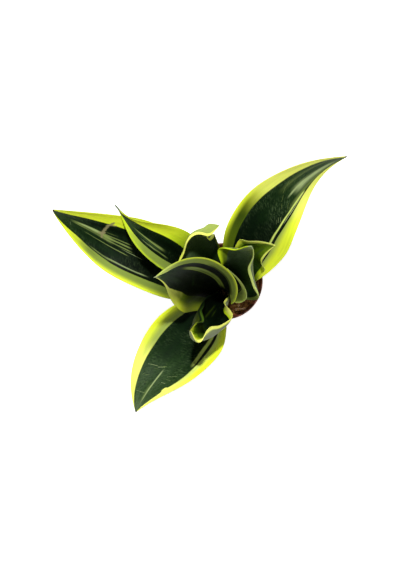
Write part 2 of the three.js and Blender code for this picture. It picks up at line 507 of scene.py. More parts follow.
def through(stops: tuple[float, ...], t: np.ndarray) -> np.ndarray:
    """Read a smooth curve through evenly spaced stops.

    Args:
        stops: Values at even steps from 0 to 1.
        t: Places from 0 to 1.

    Returns:
        The curve's value at each place.
    """
    p = np.asarray(stops, float)
    last = len(p) - 1
    place = np.clip(t * last, 0, last)
    i = np.minimum(place.astype(int), last - 1)
    f = place - i
    e = np.concatenate([[2 * p[0] - p[1]], p, [2 * p[-1] - p[-2]]])
    a, b, c, d = e[i], e[i + 1], e[i + 2], e[i + 3]
    square = (2 * a - 5 * b + 4 * c - d) * f**2
    cube = (3 * b - a - 3 * c + d) * f**3
    return 0.5 * (2 * b + (c - a) * f + square + cube)


@dataclass(frozen=True)
class BladeShape:
    """Sizes of a leaf's blade, in millimetres and degrees.

    The midrib's four control points are out, left and up from the crown. The half widths are
    left and right of it. The blade is widest at the place of that name; full and point shape
    its taper, and neck is the share of its width at the foot. Curl and twist are given at
    even steps from foot to tip.
    """

    heading: float
    midrib: tuple[Triple, Triple, Triple, Triple]
    half: tuple[float, float]
    widest: float
    full: float
    point: float
    neck: float
    left: tuple[float, ...]
    right: tuple[float, ...]
    twist: tuple[float, ...]
    waves: tuple[Wave, ...] = ()

    def width_share(self, t: np.ndarray) -> np.ndarray:
        """Share of the full width at each place along.

        Args:
            t: Places along.

        Returns:
            Shares from 0 to 1.
        """
        rise = np.sin(np.pi / 2 * np.clip(t / self.widest, 0, 1)) ** 1.6
        x = np.clip((t - self.widest) / (1 - self.widest), 0, 1)
        tip = (1 - x**self.full) ** self.point
        return np.where(t < self.widest, self.neck + (1 - self.neck) * rise, tip)

    def thickness(self, t: np.ndarray, v: np.ndarray) -> np.ndarray:
        """Thickness at each place along and across."""
        slim = 0.55 + 0.45 * np.minimum(1, self.width_share(t) / 0.5)
        return (1 + 2 * (1 - v**2)) * slim

    def length(self) -> float:
        """Length of the midrib."""
        points, _ = self._curve(np.linspace(0, 1, 200))
        return float(np.linalg.norm(np.diff(points, axis=0), axis=1).sum())

    def half_width(self, v: np.ndarray) -> np.ndarray:
        """Full half width of the half that each place across is on."""
        return np.where(v >= 0, self.half[0], self.half[1])

    def _axes(self) -> tuple[np.ndarray, np.ndarray]:
        """Level directions out along the heading and to its left."""
        turn = math.radians(self.heading)
        return (
            np.array([math.cos(turn), math.sin(turn), 0]),
            np.array([-math.sin(turn), math.cos(turn), 0]),
        )

    def _curve(self, u: np.ndarray) -> tuple[np.ndarray, np.ndarray]:
        """Follow the midrib, a cubic curve through its four control points.

        Args:
            u: Curve parameters from 0 to 1.

        Returns:
            Points and directions.
        """
        out, left = self._axes()
        up = np.array([0, 0, 1])
        w = [np.array(CROWN) + a * out + b * left + c * up for a, b, c in self.midrib]
        u = u[:, None]
        r = 1 - u
        points = r**3 * w[0] + 3 * r**2 * u * w[1] + 3 * r * u**2 * w[2] + u**3 * w[3]
        ways = 3 * (r**2 * (w[1] - w[0]) + 2 * r * u * (w[2] - w[1]) + u**2 * (w[3] - w[2]))
        return points, ways

    def sheet(self, t: np.ndarray, v: np.ndarray) -> tuple[np.ndarray, np.ndarray, np.ndarray]:
        """Middle sheet of the blade.

        Args:
            t: Places along, from 0 at the foot to 1 at the tip.
            v: Places across, from -1 at the right margin to 1 at the left one.

        Returns:
            Points, upper normals, and the directions that lead outwards from the midrib.
        """
        fine = np.linspace(0, 1, 160)
        points, _ = self._curve(fine)
        run = np.concatenate([[0], np.cumsum(np.linalg.norm(np.diff(points, axis=0), axis=1))])
        middle, along = self._curve(np.interp(t * run[-1], run, fine))
        along /= np.linalg.norm(along, axis=1, keepdims=True)
        level = self._axes()[1]
        left = level - (along @ level)[:, None] * along
        left /= np.linalg.norm(left, axis=1, keepdims=True)
        upper = np.cross(along, left)
        tau = np.radians(through(self.twist, t))[:, None]
        left, upper = left * np.cos(tau) + upper * np.sin(tau), upper * np.cos(tau) - left * np.sin(tau)
        side = np.where(v >= 0, 1.0, -1.0)
        half = self.half_width(v) * self.width_share(t)
        curl = np.where(v >= 0, through(self.left, t), through(self.right, t))
        curl = np.radians(np.maximum(curl, 1))
        angle = curl * np.abs(v)
        across = (side * half * np.sin(angle) / curl)[:, None]
        lift = (half * (1 - np.cos(angle)) / curl)[:, None]
        normal = upper * np.cos(angle)[:, None] - left * (side * np.sin(angle))[:, None]
        outward = upper * np.sin(angle)[:, None] + left * (side * np.cos(angle))[:, None]
        place = middle + across * left + lift * upper
        for wave in self.waves:
            bell = np.exp(-(((t - wave.place) / wave.span) ** 2)) * (side == wave.side.value)
            place = place + normal * (wave.lift * bell * v**2)[:, None]
        return place, normal, outward


SHAPES: dict[str, BladeShape] = {
    "leaf_wavy": BladeShape(
        heading=223.1,
        midrib=((3.5, 0, -6), (10.7, 9.7, 50), (61, 12.2, 98.2), (52.6, 3.3, 150.2)),
        half=(36.8, 28),
        widest=0.7, full=2.27, point=1.05, neck=0.35,
        left=(109, 136, 129, 108, 90),
        right=(130, 101, 76, 63, 52),
        twist=(0, 16, 13, -21, -53),
        waves=(
            Wave(Side.LEFT, 0.94, 0.04, -9.4),
            Wave(Side.LEFT, 0.81, 0.14, 19.2),
            Wave(Side.LEFT, 0.57, 0.06, -6),
            Wave(Side.LEFT, 0.39, 0.08, 3.7),
            Wave(Side.RIGHT, 0.6, 0.18, 7.5),
            Wave(Side.RIGHT, 0.87, 0.04, 7.4),
        ),
    ),
    "leaf_cup": BladeShape(
        heading=156.8,
        midrib=((7.5, 0, -6), (4, 3.1, 50), (43.4, -11.6, 118.5), (70.7, 14.4, 184.6)),
        half=(42, 42),
        widest=0.43, full=1.75, point=1.34, neck=0.41,
        left=(122, 100, 64, 11, 10),
        right=(127, 109, 52, 10, 13),
        twist=(0, -54, -39, -15, 17),
    ),
    "leaf_sheath": BladeShape(
        heading=79.7,
        midrib=((11, 0, -6), (12.9, 1.3, 40), (11.4, -8.3, 66.3), (24.8, 2.9, 104.9)),
        half=(18.3, 32.1),
        widest=0.45, full=1.97, point=1.01, neck=0.47,
        left=(55, 57, 44, 32, 22),
        right=(78, 94, 77, 51, 32),
        twist=(0, -12, -2, -3, -7),
    ),
    "leaf_broad": BladeShape(
        heading=52.9,
        midrib=((14.5, 0, -6), (16.3, -3.2, 50), (50, 7.4, 97.6), (51.8, 7.6, 150.6)),
        half=(31.8, 34.7),
        widest=0.42, full=1.6, point=0.97, neck=0.42,
        left=(48, 79, 98, 74, 30),
        right=(46, 62, 73, 65, 39),
        twist=(0, 1, 8, 7, 9),
        waves=(
            Wave(Side.RIGHT, 0.66, 0.2, 4.0),
            Wave(Side.LEFT, 0.72, 0.07, -14.4),
            Wave(Side.RIGHT, 0.77, 0.11, 5.9),
            Wave(Side.RIGHT, 0.41, 0.11, -9.4),
        ),
    ),
    "leaf_southwest": BladeShape(
        heading=226.8,
        midrib=((14.5, 0, -6), (22.5, 10.7, 50), (113.5, -3.7, 100.7), (158, 18.6, 93.6)),
        half=(42, 40.3),
        widest=0.51, full=1.83, point=0.92, neck=0.34,
        left=(29, 24, 28, 27, 29),
        right=(59, 54, 45, 34, 14),
        twist=(0, -2, 11, 16, 40),
    ),
    "leaf_hooded": BladeShape(
        heading=114.9,
        midrib=((18, 0, -6), (16.7, -1, 50), (87.2, 37.3, 114.8), (65.6, -24.1, 108.6)),
        half=(26.8, 29.2),
        widest=0.61, full=1.99, point=0.92, neck=0.45,
        left=(44, 52, 60, 61, 33),
        right=(39, 35, 34, 45, 69),
        twist=(0, 19, 34, 22, -53),
        waves=(Wave(Side.LEFT, 0.69, 0.05, -13.5),),
    ),
    "leaf_behind": BladeShape(
        heading=45.9,
        midrib=((21.5, 0, -6), (26.5, -4, 50), (53.5, 29.9, 87.8), (68.7, -2.9, 140.3)),
        half=(17, 25.6),
        widest=0.45, full=1.83, point=0.96, neck=0.42,
        left=(32, 39, 44, 45, 39),
        right=(32, 38, 45, 51, 44),
        twist=(0, 8, 10, 3, 6),
        waves=(
            Wave(Side.LEFT, 0.68, 0.06, -5.7),
            Wave(Side.RIGHT, 0.6, 0.09, -6.8),
        ),
    ),
    "leaf_northwest": BladeShape(
        heading=144.8,
        midrib=((21.5, 0, -6), (24.5, -0.6, 50), (77.2, 11.8, 115.6), (146.8, -8.3, 109.8)),
        half=(21.2, 34.1),
        widest=0.52, full=2.19, point=1.47, neck=0.44,
        left=(37, 53, 64, 56, 52),
        right=(31, 34, 36, 35, 61),
        twist=(0, 12, 14, -12, -80),
    ),
    "leaf_northeast": BladeShape(
        heading=49.1,
        midrib=((25, 0, -6), (30.7, -16.1, 50), (124.5, 53.4, 99.7), (186.9, -3.4, 126.1)),
        half=(38.5, 34.7),
        widest=0.38, full=1.6, point=0.86, neck=0.34,
        left=(32, 21, 4, 12, 30),
        right=(23, 11, 4, 4, 15),
        twist=(0, 18, 8, 33, 55),
    ),
    "leaf_west": BladeShape(
        heading=155.7,
        midrib=((25, 0, -6), (28.5, 10.3, 50), (94.4, 2.3, 90.8), (202.2, -4.3, 97.6)),
        half=(34.3, 40.4),
        widest=0.49, full=2.05, point=0.8, neck=0.4,
        left=(28, 31, 34, 24, 24),
        right=(29, 25, 24, 29, 37),
        twist=(0, 4, 5, -25, -50),
    ),
}


# Leaf markings


@dataclass(frozen=True)
class Margin:
    """The yellow strip along one edge of a blade.

    border: where it meets the green, as places along and across.
    inner, outer: tones next to the green and at the edge; inner_to is where they meet, as a
    share of the strip; a dark inner tone is partly the margin's own olive and partly painted
    shade. inner_end: place along beyond which the outer tone fills the strip.
    pale, pale_from: tone near the tip, and the place along where it begins.
    shade, shaded: darker tone near the foot, partly the leaf's own deeper colour and partly
    painted shade deep in the rosette, and the place along where it ends.
    """

    side: Side
    border: Stops
    inner: Tone = Tone.LIME
    outer: Tone = Tone.YELLOW
    inner_to: float = 0.4
    inner_end: float = 1.2
    pale: Tone = Tone.LEMON
    pale_from: float = 0.7
    shade: Tone = Tone.OLIVE
    shaded: float = 0.25


@dataclass(frozen=True)
class Streak:
    """A lengthwise stripe that follows a line over a blade and thins out at both ends."""

    tone: Tone
    path: Stops
    width: float = 0.03
    amount: float = 0.8
    fade: float = 0.04
    soft: float = 0.6


@dataclass(frozen=True)
class Fleck:
    """A short straight mark from one place on a blade to another, as wide as width in millimetres."""

    tone: Tone
    start: tuple[float, float]
    end: tuple[float, float]
    width: float = 0.5
    amount: float = 0.5


@dataclass(frozen=True)
class Markings:
    """What grows in a blade's colour.

    green: its ground from foot to tip, darkest at the foot; the dark foot is partly the leaf's
    own deep green and partly painted shade deep in the rosette. mottle, lean: how strong its
    pale bars are, and how far they are turned.
    tip, tip_from: tone of the tip. under, under_share: tone laid over its under face.
    under_rim: share of the half width, at the edge, where the under face keeps its margin.
    under_right: another tone for the right half of the under face; the wavy leaf's dark one is painted
    shade.
    """

    green: Shades
    margins: tuple[Margin, ...]
    streaks: tuple[Streak, ...] = ()
    flecks: tuple[Fleck, ...] = ()
    mottle: float = 0.4
    lean: float = 0.5
    tip: Tone | None = None
    tip_from: float = 0.985
    under: Tone = Tone.UNDER
    under_share: float = 0.5
    under_rim: float = 0.0
    under_right: Tone | None = None


MARKINGS: dict[str, Markings] = {
    "leaf_northeast": Markings(
        green=((0.0, Tone.DEEP), (0.45, Tone.DARK), (0.58, Tone.GREEN), (0.72, Tone.MOSS),
               (0.9, Tone.GREY_GREEN), (1.0, Tone.ASH)),
        margins=(
            Margin(Side.LEFT, ((0, 0.68), (0.33, 0.66), (0.5, 0.63), (0.6, 0.58), (0.66, 0.55),
                   (0.72, 0.54), (0.8, 0.54), (0.88, 0.58), (1, 0.68)),
                   inner=Tone.OLIVE_DARK, inner_to=0.74, inner_end=0.64, pale_from=0.6, shaded=0.36),
            Margin(Side.RIGHT, ((0, -0.5), (0.4, -0.52), (0.5, -0.58), (0.6, -0.64), (0.7, -0.67),
                   (0.8, -0.68), (0.9, -0.72), (1, -0.8)),
                   inner=Tone.CREAM_DARK, inner_to=0.25, pale_from=0.6, shaded=0.1),
        ),
        streaks=(
            Streak(Tone.CREAM, ((0.2, -0.36), (0.3, -0.37), (0.4, -0.39), (0.5, -0.45), (0.6, -0.52),
                   (0.73, -0.6)), 0.032, 1.0, 0.03, 0.5),
            Streak(Tone.DEEP, ((0.34, -0.47), (0.4, -0.49), (0.5, -0.56), (0.6, -0.61), (0.76, -0.66)),
                   0.028, 1.0, 0.03, 0.4),
            Streak(Tone.STRIPE, ((0.56, -0.48), (0.7, -0.52), (0.82, -0.58), (0.94, -0.6)),
                   0.09, 0.6, 0.1, 1.0),
            Streak(Tone.PALE, ((0.5, -0.52), (0.6, -0.58), (0.72, -0.64)), 0.012, 0.8),
            Streak(Tone.PALE, ((0.66, -0.2), (0.76, -0.24), (0.84, -0.3), (0.97, -0.36)),
                   0.19, 1.0, 0.08, 0.9),
            Streak(Tone.PALE, ((0.63, -0.15), (0.7, -0.15), (0.8, -0.16)), 0.04, 0.8, 0.05),
            Streak(Tone.DARK, ((0.7, -0.32), (0.78, -0.36), (0.84, -0.38)), 0.018, 0.5, 0.05, 0.9),
            Streak(Tone.DARK, ((0.74, -0.1), (0.83, -0.12), (0.92, -0.1)), 0.05, 0.5, 0.06, 0.9),
            Streak(Tone.STRIPE, ((0.62, 0.2), (0.78, 0.26), (0.95, 0.28)), 0.1, 0.35, 0.1, 1.0),
        ),
        flecks=(
            Fleck(Tone.PALE, (0.527, -0.26), (0.502, -0.33), 0.5, 0.4),
            Fleck(Tone.PALE, (0.534, -0.33), (0.51, -0.39), 0.5, 0.4),
            Fleck(Tone.PALE, (0.512, -0.24), (0.49, -0.3), 0.45, 0.3),
            Fleck(Tone.STRIPE, (0.62, -0.3), (0.59, -0.38), 0.5, 0.4),
            Fleck(Tone.STRIPE, (0.6, -0.1), (0.575, -0.18), 0.5, 0.4),
            Fleck(Tone.STRIPE, (0.64, 0.05), (0.61, -0.04), 0.5, 0.4),
            Fleck(Tone.STRIPE, (0.68, 0.22), (0.65, 0.12), 0.5, 0.45),
            Fleck(Tone.STRIPE, (0.72, 0.35), (0.69, 0.24), 0.5, 0.45),
        ),
        mottle=0.6, lean=-0.88,
        tip=Tone.BROWN,
    ),
    "leaf_southwest": Markings(
        green=((0.0, Tone.DEEP), (0.4, Tone.DARK), (0.58, Tone.GREEN), (0.72, Tone.MOSS),
               (0.9, Tone.GREY_GREEN), (1.0, Tone.ASH)),
        margins=(
            Margin(Side.LEFT, ((0, 0.7), (0.3, 0.7), (0.5, 0.71), (0.6, 0.74), (0.72, 0.76),
                   (0.785, 0.74), (0.795, 0.67), (0.81, 0.66), (0.83, 0.73), (0.86, 0.77), (0.93, 0.77),
                   (1, 0.85)),
                   inner=Tone.CREAM, inner_to=0.35, pale_from=0.72, shaded=0.15),
            Margin(Side.RIGHT, ((0, -0.6), (0.35, -0.6), (0.6, -0.6), (0.7, -0.62), (0.8, -0.64),
                   (0.9, -0.7), (1, -0.87)),
                   inner=Tone.CREAM_DARK, inner_to=0.5, inner_end=0.9, pale_from=0.66, shaded=0.3),
        ),
        streaks=(
            Streak(Tone.DEEP, ((0.18, 0.66), (0.3, 0.66), (0.5, 0.67), (0.63, 0.7)),
                   0.028, 1.0, 0.04, 0.5),
            Streak(Tone.CREAM, ((0.26, 0.59), (0.4, 0.58), (0.5, 0.59), (0.62, 0.66)),
                   0.05, 0.9, 0.07, 0.5),
            Streak(Tone.PALE, ((0.7, 0.1), (0.76, 0.11), (0.82, 0.125), (0.88, 0.16), (0.945, 0.22)),
                   0.03, 0.75, 0.05, 0.8),
            Streak(Tone.STRIPE, ((0.8, 0.08), (0.88, 0.12), (0.96, 0.2)), 0.09, 0.45, 0.06, 0.9),
            Streak(Tone.MOSS, ((0.5, 0.26), (0.57, 0.25), (0.66, 0.24)), 0.02, 0.3),
            Streak(Tone.DEEP, ((0.3, 0.3), (0.45, 0.3), (0.6, 0.3)), 0.2, 0.5, 0.1, 1.0),
        ),
        flecks=(
            Fleck(Tone.PALE, (0.735, -0.46), (0.722, -0.3), 0.4, 0.5),
            Fleck(Tone.PALE, (0.722, -0.3), (0.712, -0.13), 0.5, 0.6),
            Fleck(Tone.PALE, (0.716, -0.1), (0.694, 0.08), 0.5, 0.6),
            Fleck(Tone.STRIPE, (0.7, 0.02), (0.685, 0.1), 0.5, 0.5),
            Fleck(Tone.STRIPE, (0.735, -0.2), (0.725, -0.06), 0.35, 0.4),
            Fleck(Tone.PALE, (0.781, 0.36), (0.774, 0.5), 0.5, 0.6),
            Fleck(Tone.PALE, (0.735, 0.36), (0.722, 0.45), 0.4, 0.5),
            Fleck(Tone.PALE, (0.72, 0.48), (0.7, 0.58), 0.4, 0.5),
            Fleck(Tone.PALE, (0.75, 0.42), (0.745, 0.55), 0.35, 0.4),
            Fleck(Tone.PALE, (0.888, -0.56), (0.878, 0.04), 0.4, 0.45),
            Fleck(Tone.STRIPE, (0.8, -0.5), (0.785, -0.42), 0.4, 0.45),
            Fleck(Tone.STRIPE, (0.79, -0.36), (0.78, -0.22), 0.4, 0.45),
            Fleck(Tone.STRIPE, (0.83, -0.3), (0.82, -0.14), 0.35, 0.4),
            Fleck(Tone.OLIVE_DARK, (0.47, -0.68), (0.466, -0.64), 0.6, 0.45),
            Fleck(Tone.OLIVE_DARK, (0.484, -0.72), (0.48, -0.69), 0.5, 0.4),
        ),
        mottle=0.4,
        tip=Tone.BROWN,
    ),
    "leaf_west": Markings(
        green=((0.0, Tone.DEEP), (0.5, Tone.DEEP), (0.64, Tone.DARK), (0.8, Tone.GREEN),
               (0.93, Tone.MOSS), (1.0, Tone.GREY_GREEN)),
        margins=(
            Margin(Side.LEFT, ((0, 0.6), (0.38, 0.6), (0.5, 0.62), (0.6, 0.63), (0.7, 0.67), (0.75, 0.67),
                   (0.83, 0.65), (0.9, 0.7), (1, 0.9)),
                   inner=Tone.OLIVE_PALE, inner_to=0.74, pale=Tone.YELLOW, pale_from=0.84,
                   shade=Tone.OLIVE_DARK, shaded=0.38),
            Margin(Side.RIGHT, ((0, -0.5), (0.6, -0.54), (0.75, -0.56), (0.82, -0.56), (0.88, -0.54),
                   (0.94, -0.5), (1, -0.6)),
                   inner_to=0.2, pale=Tone.YELLOW, shaded=0.35),
        ),
        streaks=(
            Streak(Tone.BROWN, ((0.7, 0.77), (0.77, 0.77), (0.84, 0.77)), 0.012, 0.45),
            Streak(Tone.DEEP, ((0.34, 0.56), (0.4, 0.57), (0.55, 0.63), (0.68, 0.66)),
                   0.035, 1.0, 0.04, 0.5),
            Streak(Tone.PALE, ((0.44, 0.5), (0.52, 0.53), (0.6, 0.56), (0.68, 0.585)), 0.022, 0.55, 0.05),
            Streak(Tone.STRIPE, ((0.6, 0.56), (0.68, 0.6), (0.78, 0.6)), 0.03, 0.6, 0.05),
            Streak(Tone.PALE, ((0.5, 0.06), (0.56, 0.06), (0.64, 0.06)), 0.012, 0.5),
            Streak(Tone.STRIPE, ((0.56, 0.0), (0.64, 0.01), (0.73, 0.02)), 0.022, 0.8),
            Streak(Tone.STRIPE, ((0.57, -0.08), (0.64, -0.07), (0.74, -0.05)), 0.022, 0.8),
            Streak(Tone.STRIPE, ((0.58, -0.17), (0.66, -0.15), (0.74, -0.13)), 0.018, 0.7),
            Streak(Tone.STRIPE, ((0.66, -0.24), (0.71, -0.23), (0.75, -0.22)), 0.012, 0.5),
            Streak(Tone.STRIPE, ((0.66, 0.0), (0.74, -0.06), (0.82, -0.08), (0.91, -0.06)),
                   0.1, 0.95, 0.06, 0.6),
            Streak(Tone.PALE, ((0.74, -0.1), (0.8, -0.12), (0.87, -0.1)), 0.05, 0.6, 0.04, 0.8),
            Streak(Tone.DARK, ((0.76, -0.03), (0.82, -0.05), (0.89, -0.04)), 0.014, 0.6, 0.04),
            Streak(Tone.STRIPE, ((0.57, 0.17), (0.7, 0.18), (0.83, 0.18)), 0.014, 0.7),
            Streak(Tone.GREEN, ((0.56, 0.32), (0.72, 0.36), (0.92, 0.3)), 0.1, 0.6, 0.12, 1.0),
            Streak(Tone.GREEN, ((0.76, -0.26), (0.84, -0.24), (0.94, -0.14)), 0.07, 0.5, 0.06, 1.0),
            Streak(Tone.DEEP, ((0.5, -0.38), (0.7, -0.38), (0.86, -0.34)), 0.1, 0.8, 0.08, 1.0),
        ),
        flecks=(
            Fleck(Tone.SCAR, (0.72, -0.64), (0.736, -0.49), 3.0, 0.92),
            Fleck(Tone.SCAR, (0.736, -0.49), (0.743, -0.15), 3.6, 0.92),
            Fleck(Tone.SCAR, (0.743, -0.15), (0.735, -0.0), 3.2, 0.92),
            Fleck(Tone.SCAR, (0.738, -0.51), (0.701, -0.56), 1.5, 0.92),
            Fleck(Tone.SCAR, (0.757, -0.09), (0.733, -0.18), 2.4, 0.92),
            Fleck(Tone.PALE, (0.9, 0.12), (0.892, 0.3), 0.35, 0.5),
            Fleck(Tone.PALE, (0.885, -0.3), (0.9, -0.42), 0.35, 0.35),
        ),
        mottle=0.22,
        tip=Tone.BROWN,
    ),
    "leaf_northwest": Markings(
        green=((0.0, Tone.DEEP), (0.5, Tone.DEEP), (0.62, Tone.DARK), (0.8, Tone.GREEN),
               (0.92, Tone.GREY_GREEN), (1.0, Tone.ASH)),
        margins=(
            Margin(Side.LEFT, ((0, 0.3), (0.5, 0.28), (0.6, 0.35), (0.7, 0.44), (0.8, 0.52), (0.87, 0.56),
                   (1, 0.66)),
                   inner=Tone.OLIVE_PALE, outer=Tone.LIME, inner_to=0.9, pale=Tone.LIME, pale_from=0.84,
                   shade=Tone.LEAF_GREEN, shaded=0.45),
            Margin(Side.RIGHT, ((0, -0.5), (0.52, -0.5), (0.6, -0.5), (0.7, -0.49), (0.78, -0.47),
                   (0.86, -0.52), (0.93, -0.64), (1, -0.9)),
                   inner_to=0.3, pale=Tone.YELLOW, pale_from=0.66, shade=Tone.FRESH, shaded=0.58),
        ),
        streaks=(
            Streak(Tone.DEEP, ((0.58, 0.28), (0.66, 0.36), (0.75, 0.44), (0.86, 0.52)),
                   0.035, 1.0, 0.04, 0.5),
            Streak(Tone.STRIPE, ((0.56, 0.14), (0.65, 0.17), (0.74, 0.24)), 0.035, 0.8, 0.05),
            Streak(Tone.STRIPE, ((0.6, -0.05), (0.7, -0.02), (0.86, 0.06)), 0.045, 0.9, 0.06, 0.8),
            Streak(Tone.GREY_GREEN, ((0.62, 0.06), (0.75, 0.12), (0.88, 0.2)), 0.05, 0.7, 0.06, 0.9),
            Streak(Tone.PALE, ((0.64, 0.2), (0.7, 0.25), (0.78, 0.3)), 0.014, 0.6),
            Streak(Tone.DEEP, ((0.45, -0.28), (0.65, -0.27), (0.84, -0.22)), 0.14, 0.9, 0.08, 1.0),
        ),
        mottle=0.2,
        tip=Tone.ASH, tip_from=0.94,
    ),
    "leaf_cup": Markings(
        green=((0.0, Tone.DEEP), (0.55, Tone.DEEP), (0.7, Tone.DARK), (0.85, Tone.GREEN),
               (0.94, Tone.MOSS), (1.0, Tone.TIP)),
        margins=(
            Margin(Side.LEFT, ((0, 0.5), (0.3, 0.52), (0.5, 0.55), (0.6, 0.56), (0.67, 0.62),
                   (0.75, 0.72), (0.8, 0.82), (0.9, 0.87), (1, 0.93)),
                   inner=Tone.OLIVE, inner_to=0.6, pale_from=0.66, shade=Tone.OLIVE_DARK, shaded=0.46),
            Margin(Side.RIGHT, ((0, -0.72), (0.3, -0.72), (0.6, -0.72), (0.75, -0.7), (0.8, -0.66),
                   (0.86, -0.54), (0.9, -0.42), (0.95, -0.38), (1, -0.7)),
                   inner=Tone.OLIVE_PALE, inner_to=0.9, pale=Tone.CREAM, pale_from=0.88, shaded=0.15),
        ),
        streaks=(
            Streak(Tone.DEEP, ((0.2, -0.57), (0.5, -0.57), (0.7, -0.56), (0.82, -0.54)),
                   0.05, 1.0, 0.04, 0.5),
            Streak(Tone.OLIVE_PALE, ((0.3, -0.42), (0.5, -0.42), (0.6, -0.42), (0.68, -0.42),
                   (0.79, -0.42)), 0.085, 1.0, 0.1, 0.35),
            Streak(Tone.STRIPE, ((0.58, -0.42), (0.66, -0.42), (0.76, -0.42)), 0.05, 1.0, 0.06, 0.35),
            Streak(Tone.DEEP, ((0.3, -0.4), (0.5, -0.4), (0.78, -0.42)), 0.01, 0.5),
            Streak(Tone.STRIPE, ((0.5, -0.46), (0.6, -0.46), (0.72, -0.46)), 0.025, 0.7, 0.07),
            Streak(Tone.MOSS, ((0.48, 0.3), (0.57, 0.05), (0.65, -0.2)), 0.05, 0.5, 0.06, 1.0),
            Streak(Tone.MOSS, ((0.66, 0.3), (0.76, 0.26), (0.86, 0.2)), 0.14, 0.4, 0.07, 1.0),
            Streak(Tone.OLIVE_PALE, ((0.3, -0.9), (0.5, -0.9), (0.75, -0.9)), 0.05, 0.6, 0.08),
            Streak(Tone.DARK, ((0.3, -0.76), (0.5, -0.75), (0.66, -0.75)), 0.04, 0.7, 0.08),
        ),
        mottle=0.12,
        tip=Tone.TIP, tip_from=0.965,
    ),
    "leaf_hooded": Markings(
        green=((0.0, Tone.DARK), (0.4, Tone.MOSS), (0.6, Tone.GREY_GREEN), (0.8, Tone.ASH),
               (1.0, Tone.STRIPE)),
        margins=(
            Margin(Side.LEFT, ((0, 0.72), (0.5, 0.77), (0.8, 0.8), (1, 0.75)), inner_to=0.3, shaded=0.45),
            Margin(Side.RIGHT, ((0, -0.93), (0.6, -0.94), (0.8, -0.86), (1, -0.7)),
                   inner_to=0.3, shade=Tone.LEAF_DARK, shaded=0.7),
        ),
        streaks=(
            Streak(Tone.GREY_GREEN, ((0.58, 0.12), (0.66, 0.1), (0.74, 0.08)), 0.12, 0.6, 0.05, 1.0),
            Streak(Tone.GREY_GREEN, ((0.44, -0.5), (0.53, -0.5), (0.62, -0.46)), 0.12, 0.6, 0.05, 1.0),
        ),
        mottle=0.5,
        under=Tone.CREAM_DARK, under_share=0.9, under_rim=0.75,
    ),
    "leaf_broad": Markings(
        green=((0.0, Tone.DEEP), (0.34, Tone.GREEN), (0.46, Tone.MOSS), (0.6, Tone.GREY_GREEN),
               (0.8, Tone.ASH), (0.93, Tone.STRIPE), (1.0, Tone.PALE)),
        margins=(
            Margin(Side.LEFT, ((0, 0.75), (0.5, 0.75), (0.65, 0.76), (0.75, 0.72), (0.85, 0.78),
                   (1, 0.8)),
                   inner=Tone.OLIVE, outer=Tone.LIME, inner_to=0.7, pale=Tone.LIME, pale_from=0.9,
                   shade=Tone.OLIVE_DARK, shaded=0.62),
            Margin(Side.RIGHT, ((0, -0.94), (0.42, -0.93), (0.55, -0.88), (0.8, -0.87), (1, -0.85)),
                   inner=Tone.CREAM, outer=Tone.CREAM, inner_to=0.3, pale=Tone.CREAM,
                   shade=Tone.LEAF_DARK, shaded=0.42),
        ),
        streaks=(
            Streak(Tone.LEAF_GREEN, ((0.2, -0.4), (0.35, -0.4), (0.5, -0.38), (0.66, -0.34)),
                   0.26, 0.25, 0.1, 1.0),
        ),
        mottle=0.2,
        under=Tone.OLIVE_PALE, under_share=0.6, under_rim=0.82,
        tip=Tone.PALE, tip_from=0.95,
    ),
    "leaf_behind": Markings(
        green=((0.0, Tone.DEEP), (0.4, Tone.DARK), (0.52, Tone.LEAF_DARK), (0.72, Tone.LEAF_GREEN),
               (1.0, Tone.FRESH)),
        margins=(
            Margin(Side.LEFT, ((0, 0.7), (0.5, 0.7), (0.7, 0.66), (0.78, 0.6), (0.9, 0.5), (1, 0.5)),
                   inner=Tone.FRESH, inner_to=0.5, shade=Tone.LEAF_DARK, shaded=0.6),
            Margin(Side.RIGHT, ((0, -0.8), (0.6, -0.84), (0.85, -0.86), (1, -0.8)),
                   inner_to=0.3, shade=Tone.LEAF_GREEN, shaded=0.5),
        ),
        streaks=(
            Streak(Tone.GREY_GREEN, ((0.68, -0.4), (0.78, -0.42), (0.88, -0.4)), 0.1, 0.6, 0.05, 1.0),
            Streak(Tone.LEAF_DARK, ((0.2, 0.4), (0.4, 0.4), (0.66, 0.4)), 0.25, 0.7, 0.1, 1.0),
        ),
        mottle=0.25,
    ),
    "leaf_wavy": Markings(
        green=((0.0, Tone.DEEP), (0.5, Tone.DEEP), (0.62, Tone.DARK), (0.7, Tone.LEAF_DARK),
               (0.78, Tone.LEAF_GREEN), (0.86, Tone.LIME), (0.93, Tone.YELLOW), (1.0, Tone.LEMON)),
        margins=(
            Margin(Side.LEFT, ((0, 0.5), (0.3, 0.56), (0.45, 0.66), (0.55, 0.84), (0.62, 0.92),
                   (0.84, 0.92), (0.9, 0.7), (1, 0.5)),
                   outer=Tone.LEMON, shade=Tone.OLIVE_PALE, shaded=0.28),
            # This margin is painted dark green nearly to the tip: painted shade over its yellow.
            Margin(Side.RIGHT, ((0, -0.8), (0.5, -0.86), (0.88, -0.8), (0.94, -0.5), (1, -0.3)),
                   inner=Tone.LEAF_DARK, outer=Tone.LEAF_DARK, inner_to=0.3, pale=Tone.YELLOW,
                   pale_from=0.98, shade=Tone.DARK, shaded=0.7),
        ),
        streaks=(
            Streak(Tone.OLIVE_DARK, ((0.28, -0.1), (0.4, -0.1), (0.56, -0.1)), 0.05, 0.5, 0.07, 0.8),
            Streak(Tone.OLIVE_DARK, ((0.33, 0.1), (0.4, 0.1), (0.5, 0.1)), 0.025, 0.5, 0.07, 0.8),
            Streak(Tone.OLIVE_DARK, ((0.62, 0.02), (0.72, 0.08), (0.84, 0.2)), 0.09, 0.7, 0.06, 0.8),
        ),
        mottle=0.12,
        # The dark right half of its under face is painted shade.
        under=Tone.UNDER_PALE, under_share=0.95, under_rim=0.93, under_right=Tone.DARK,
    ),
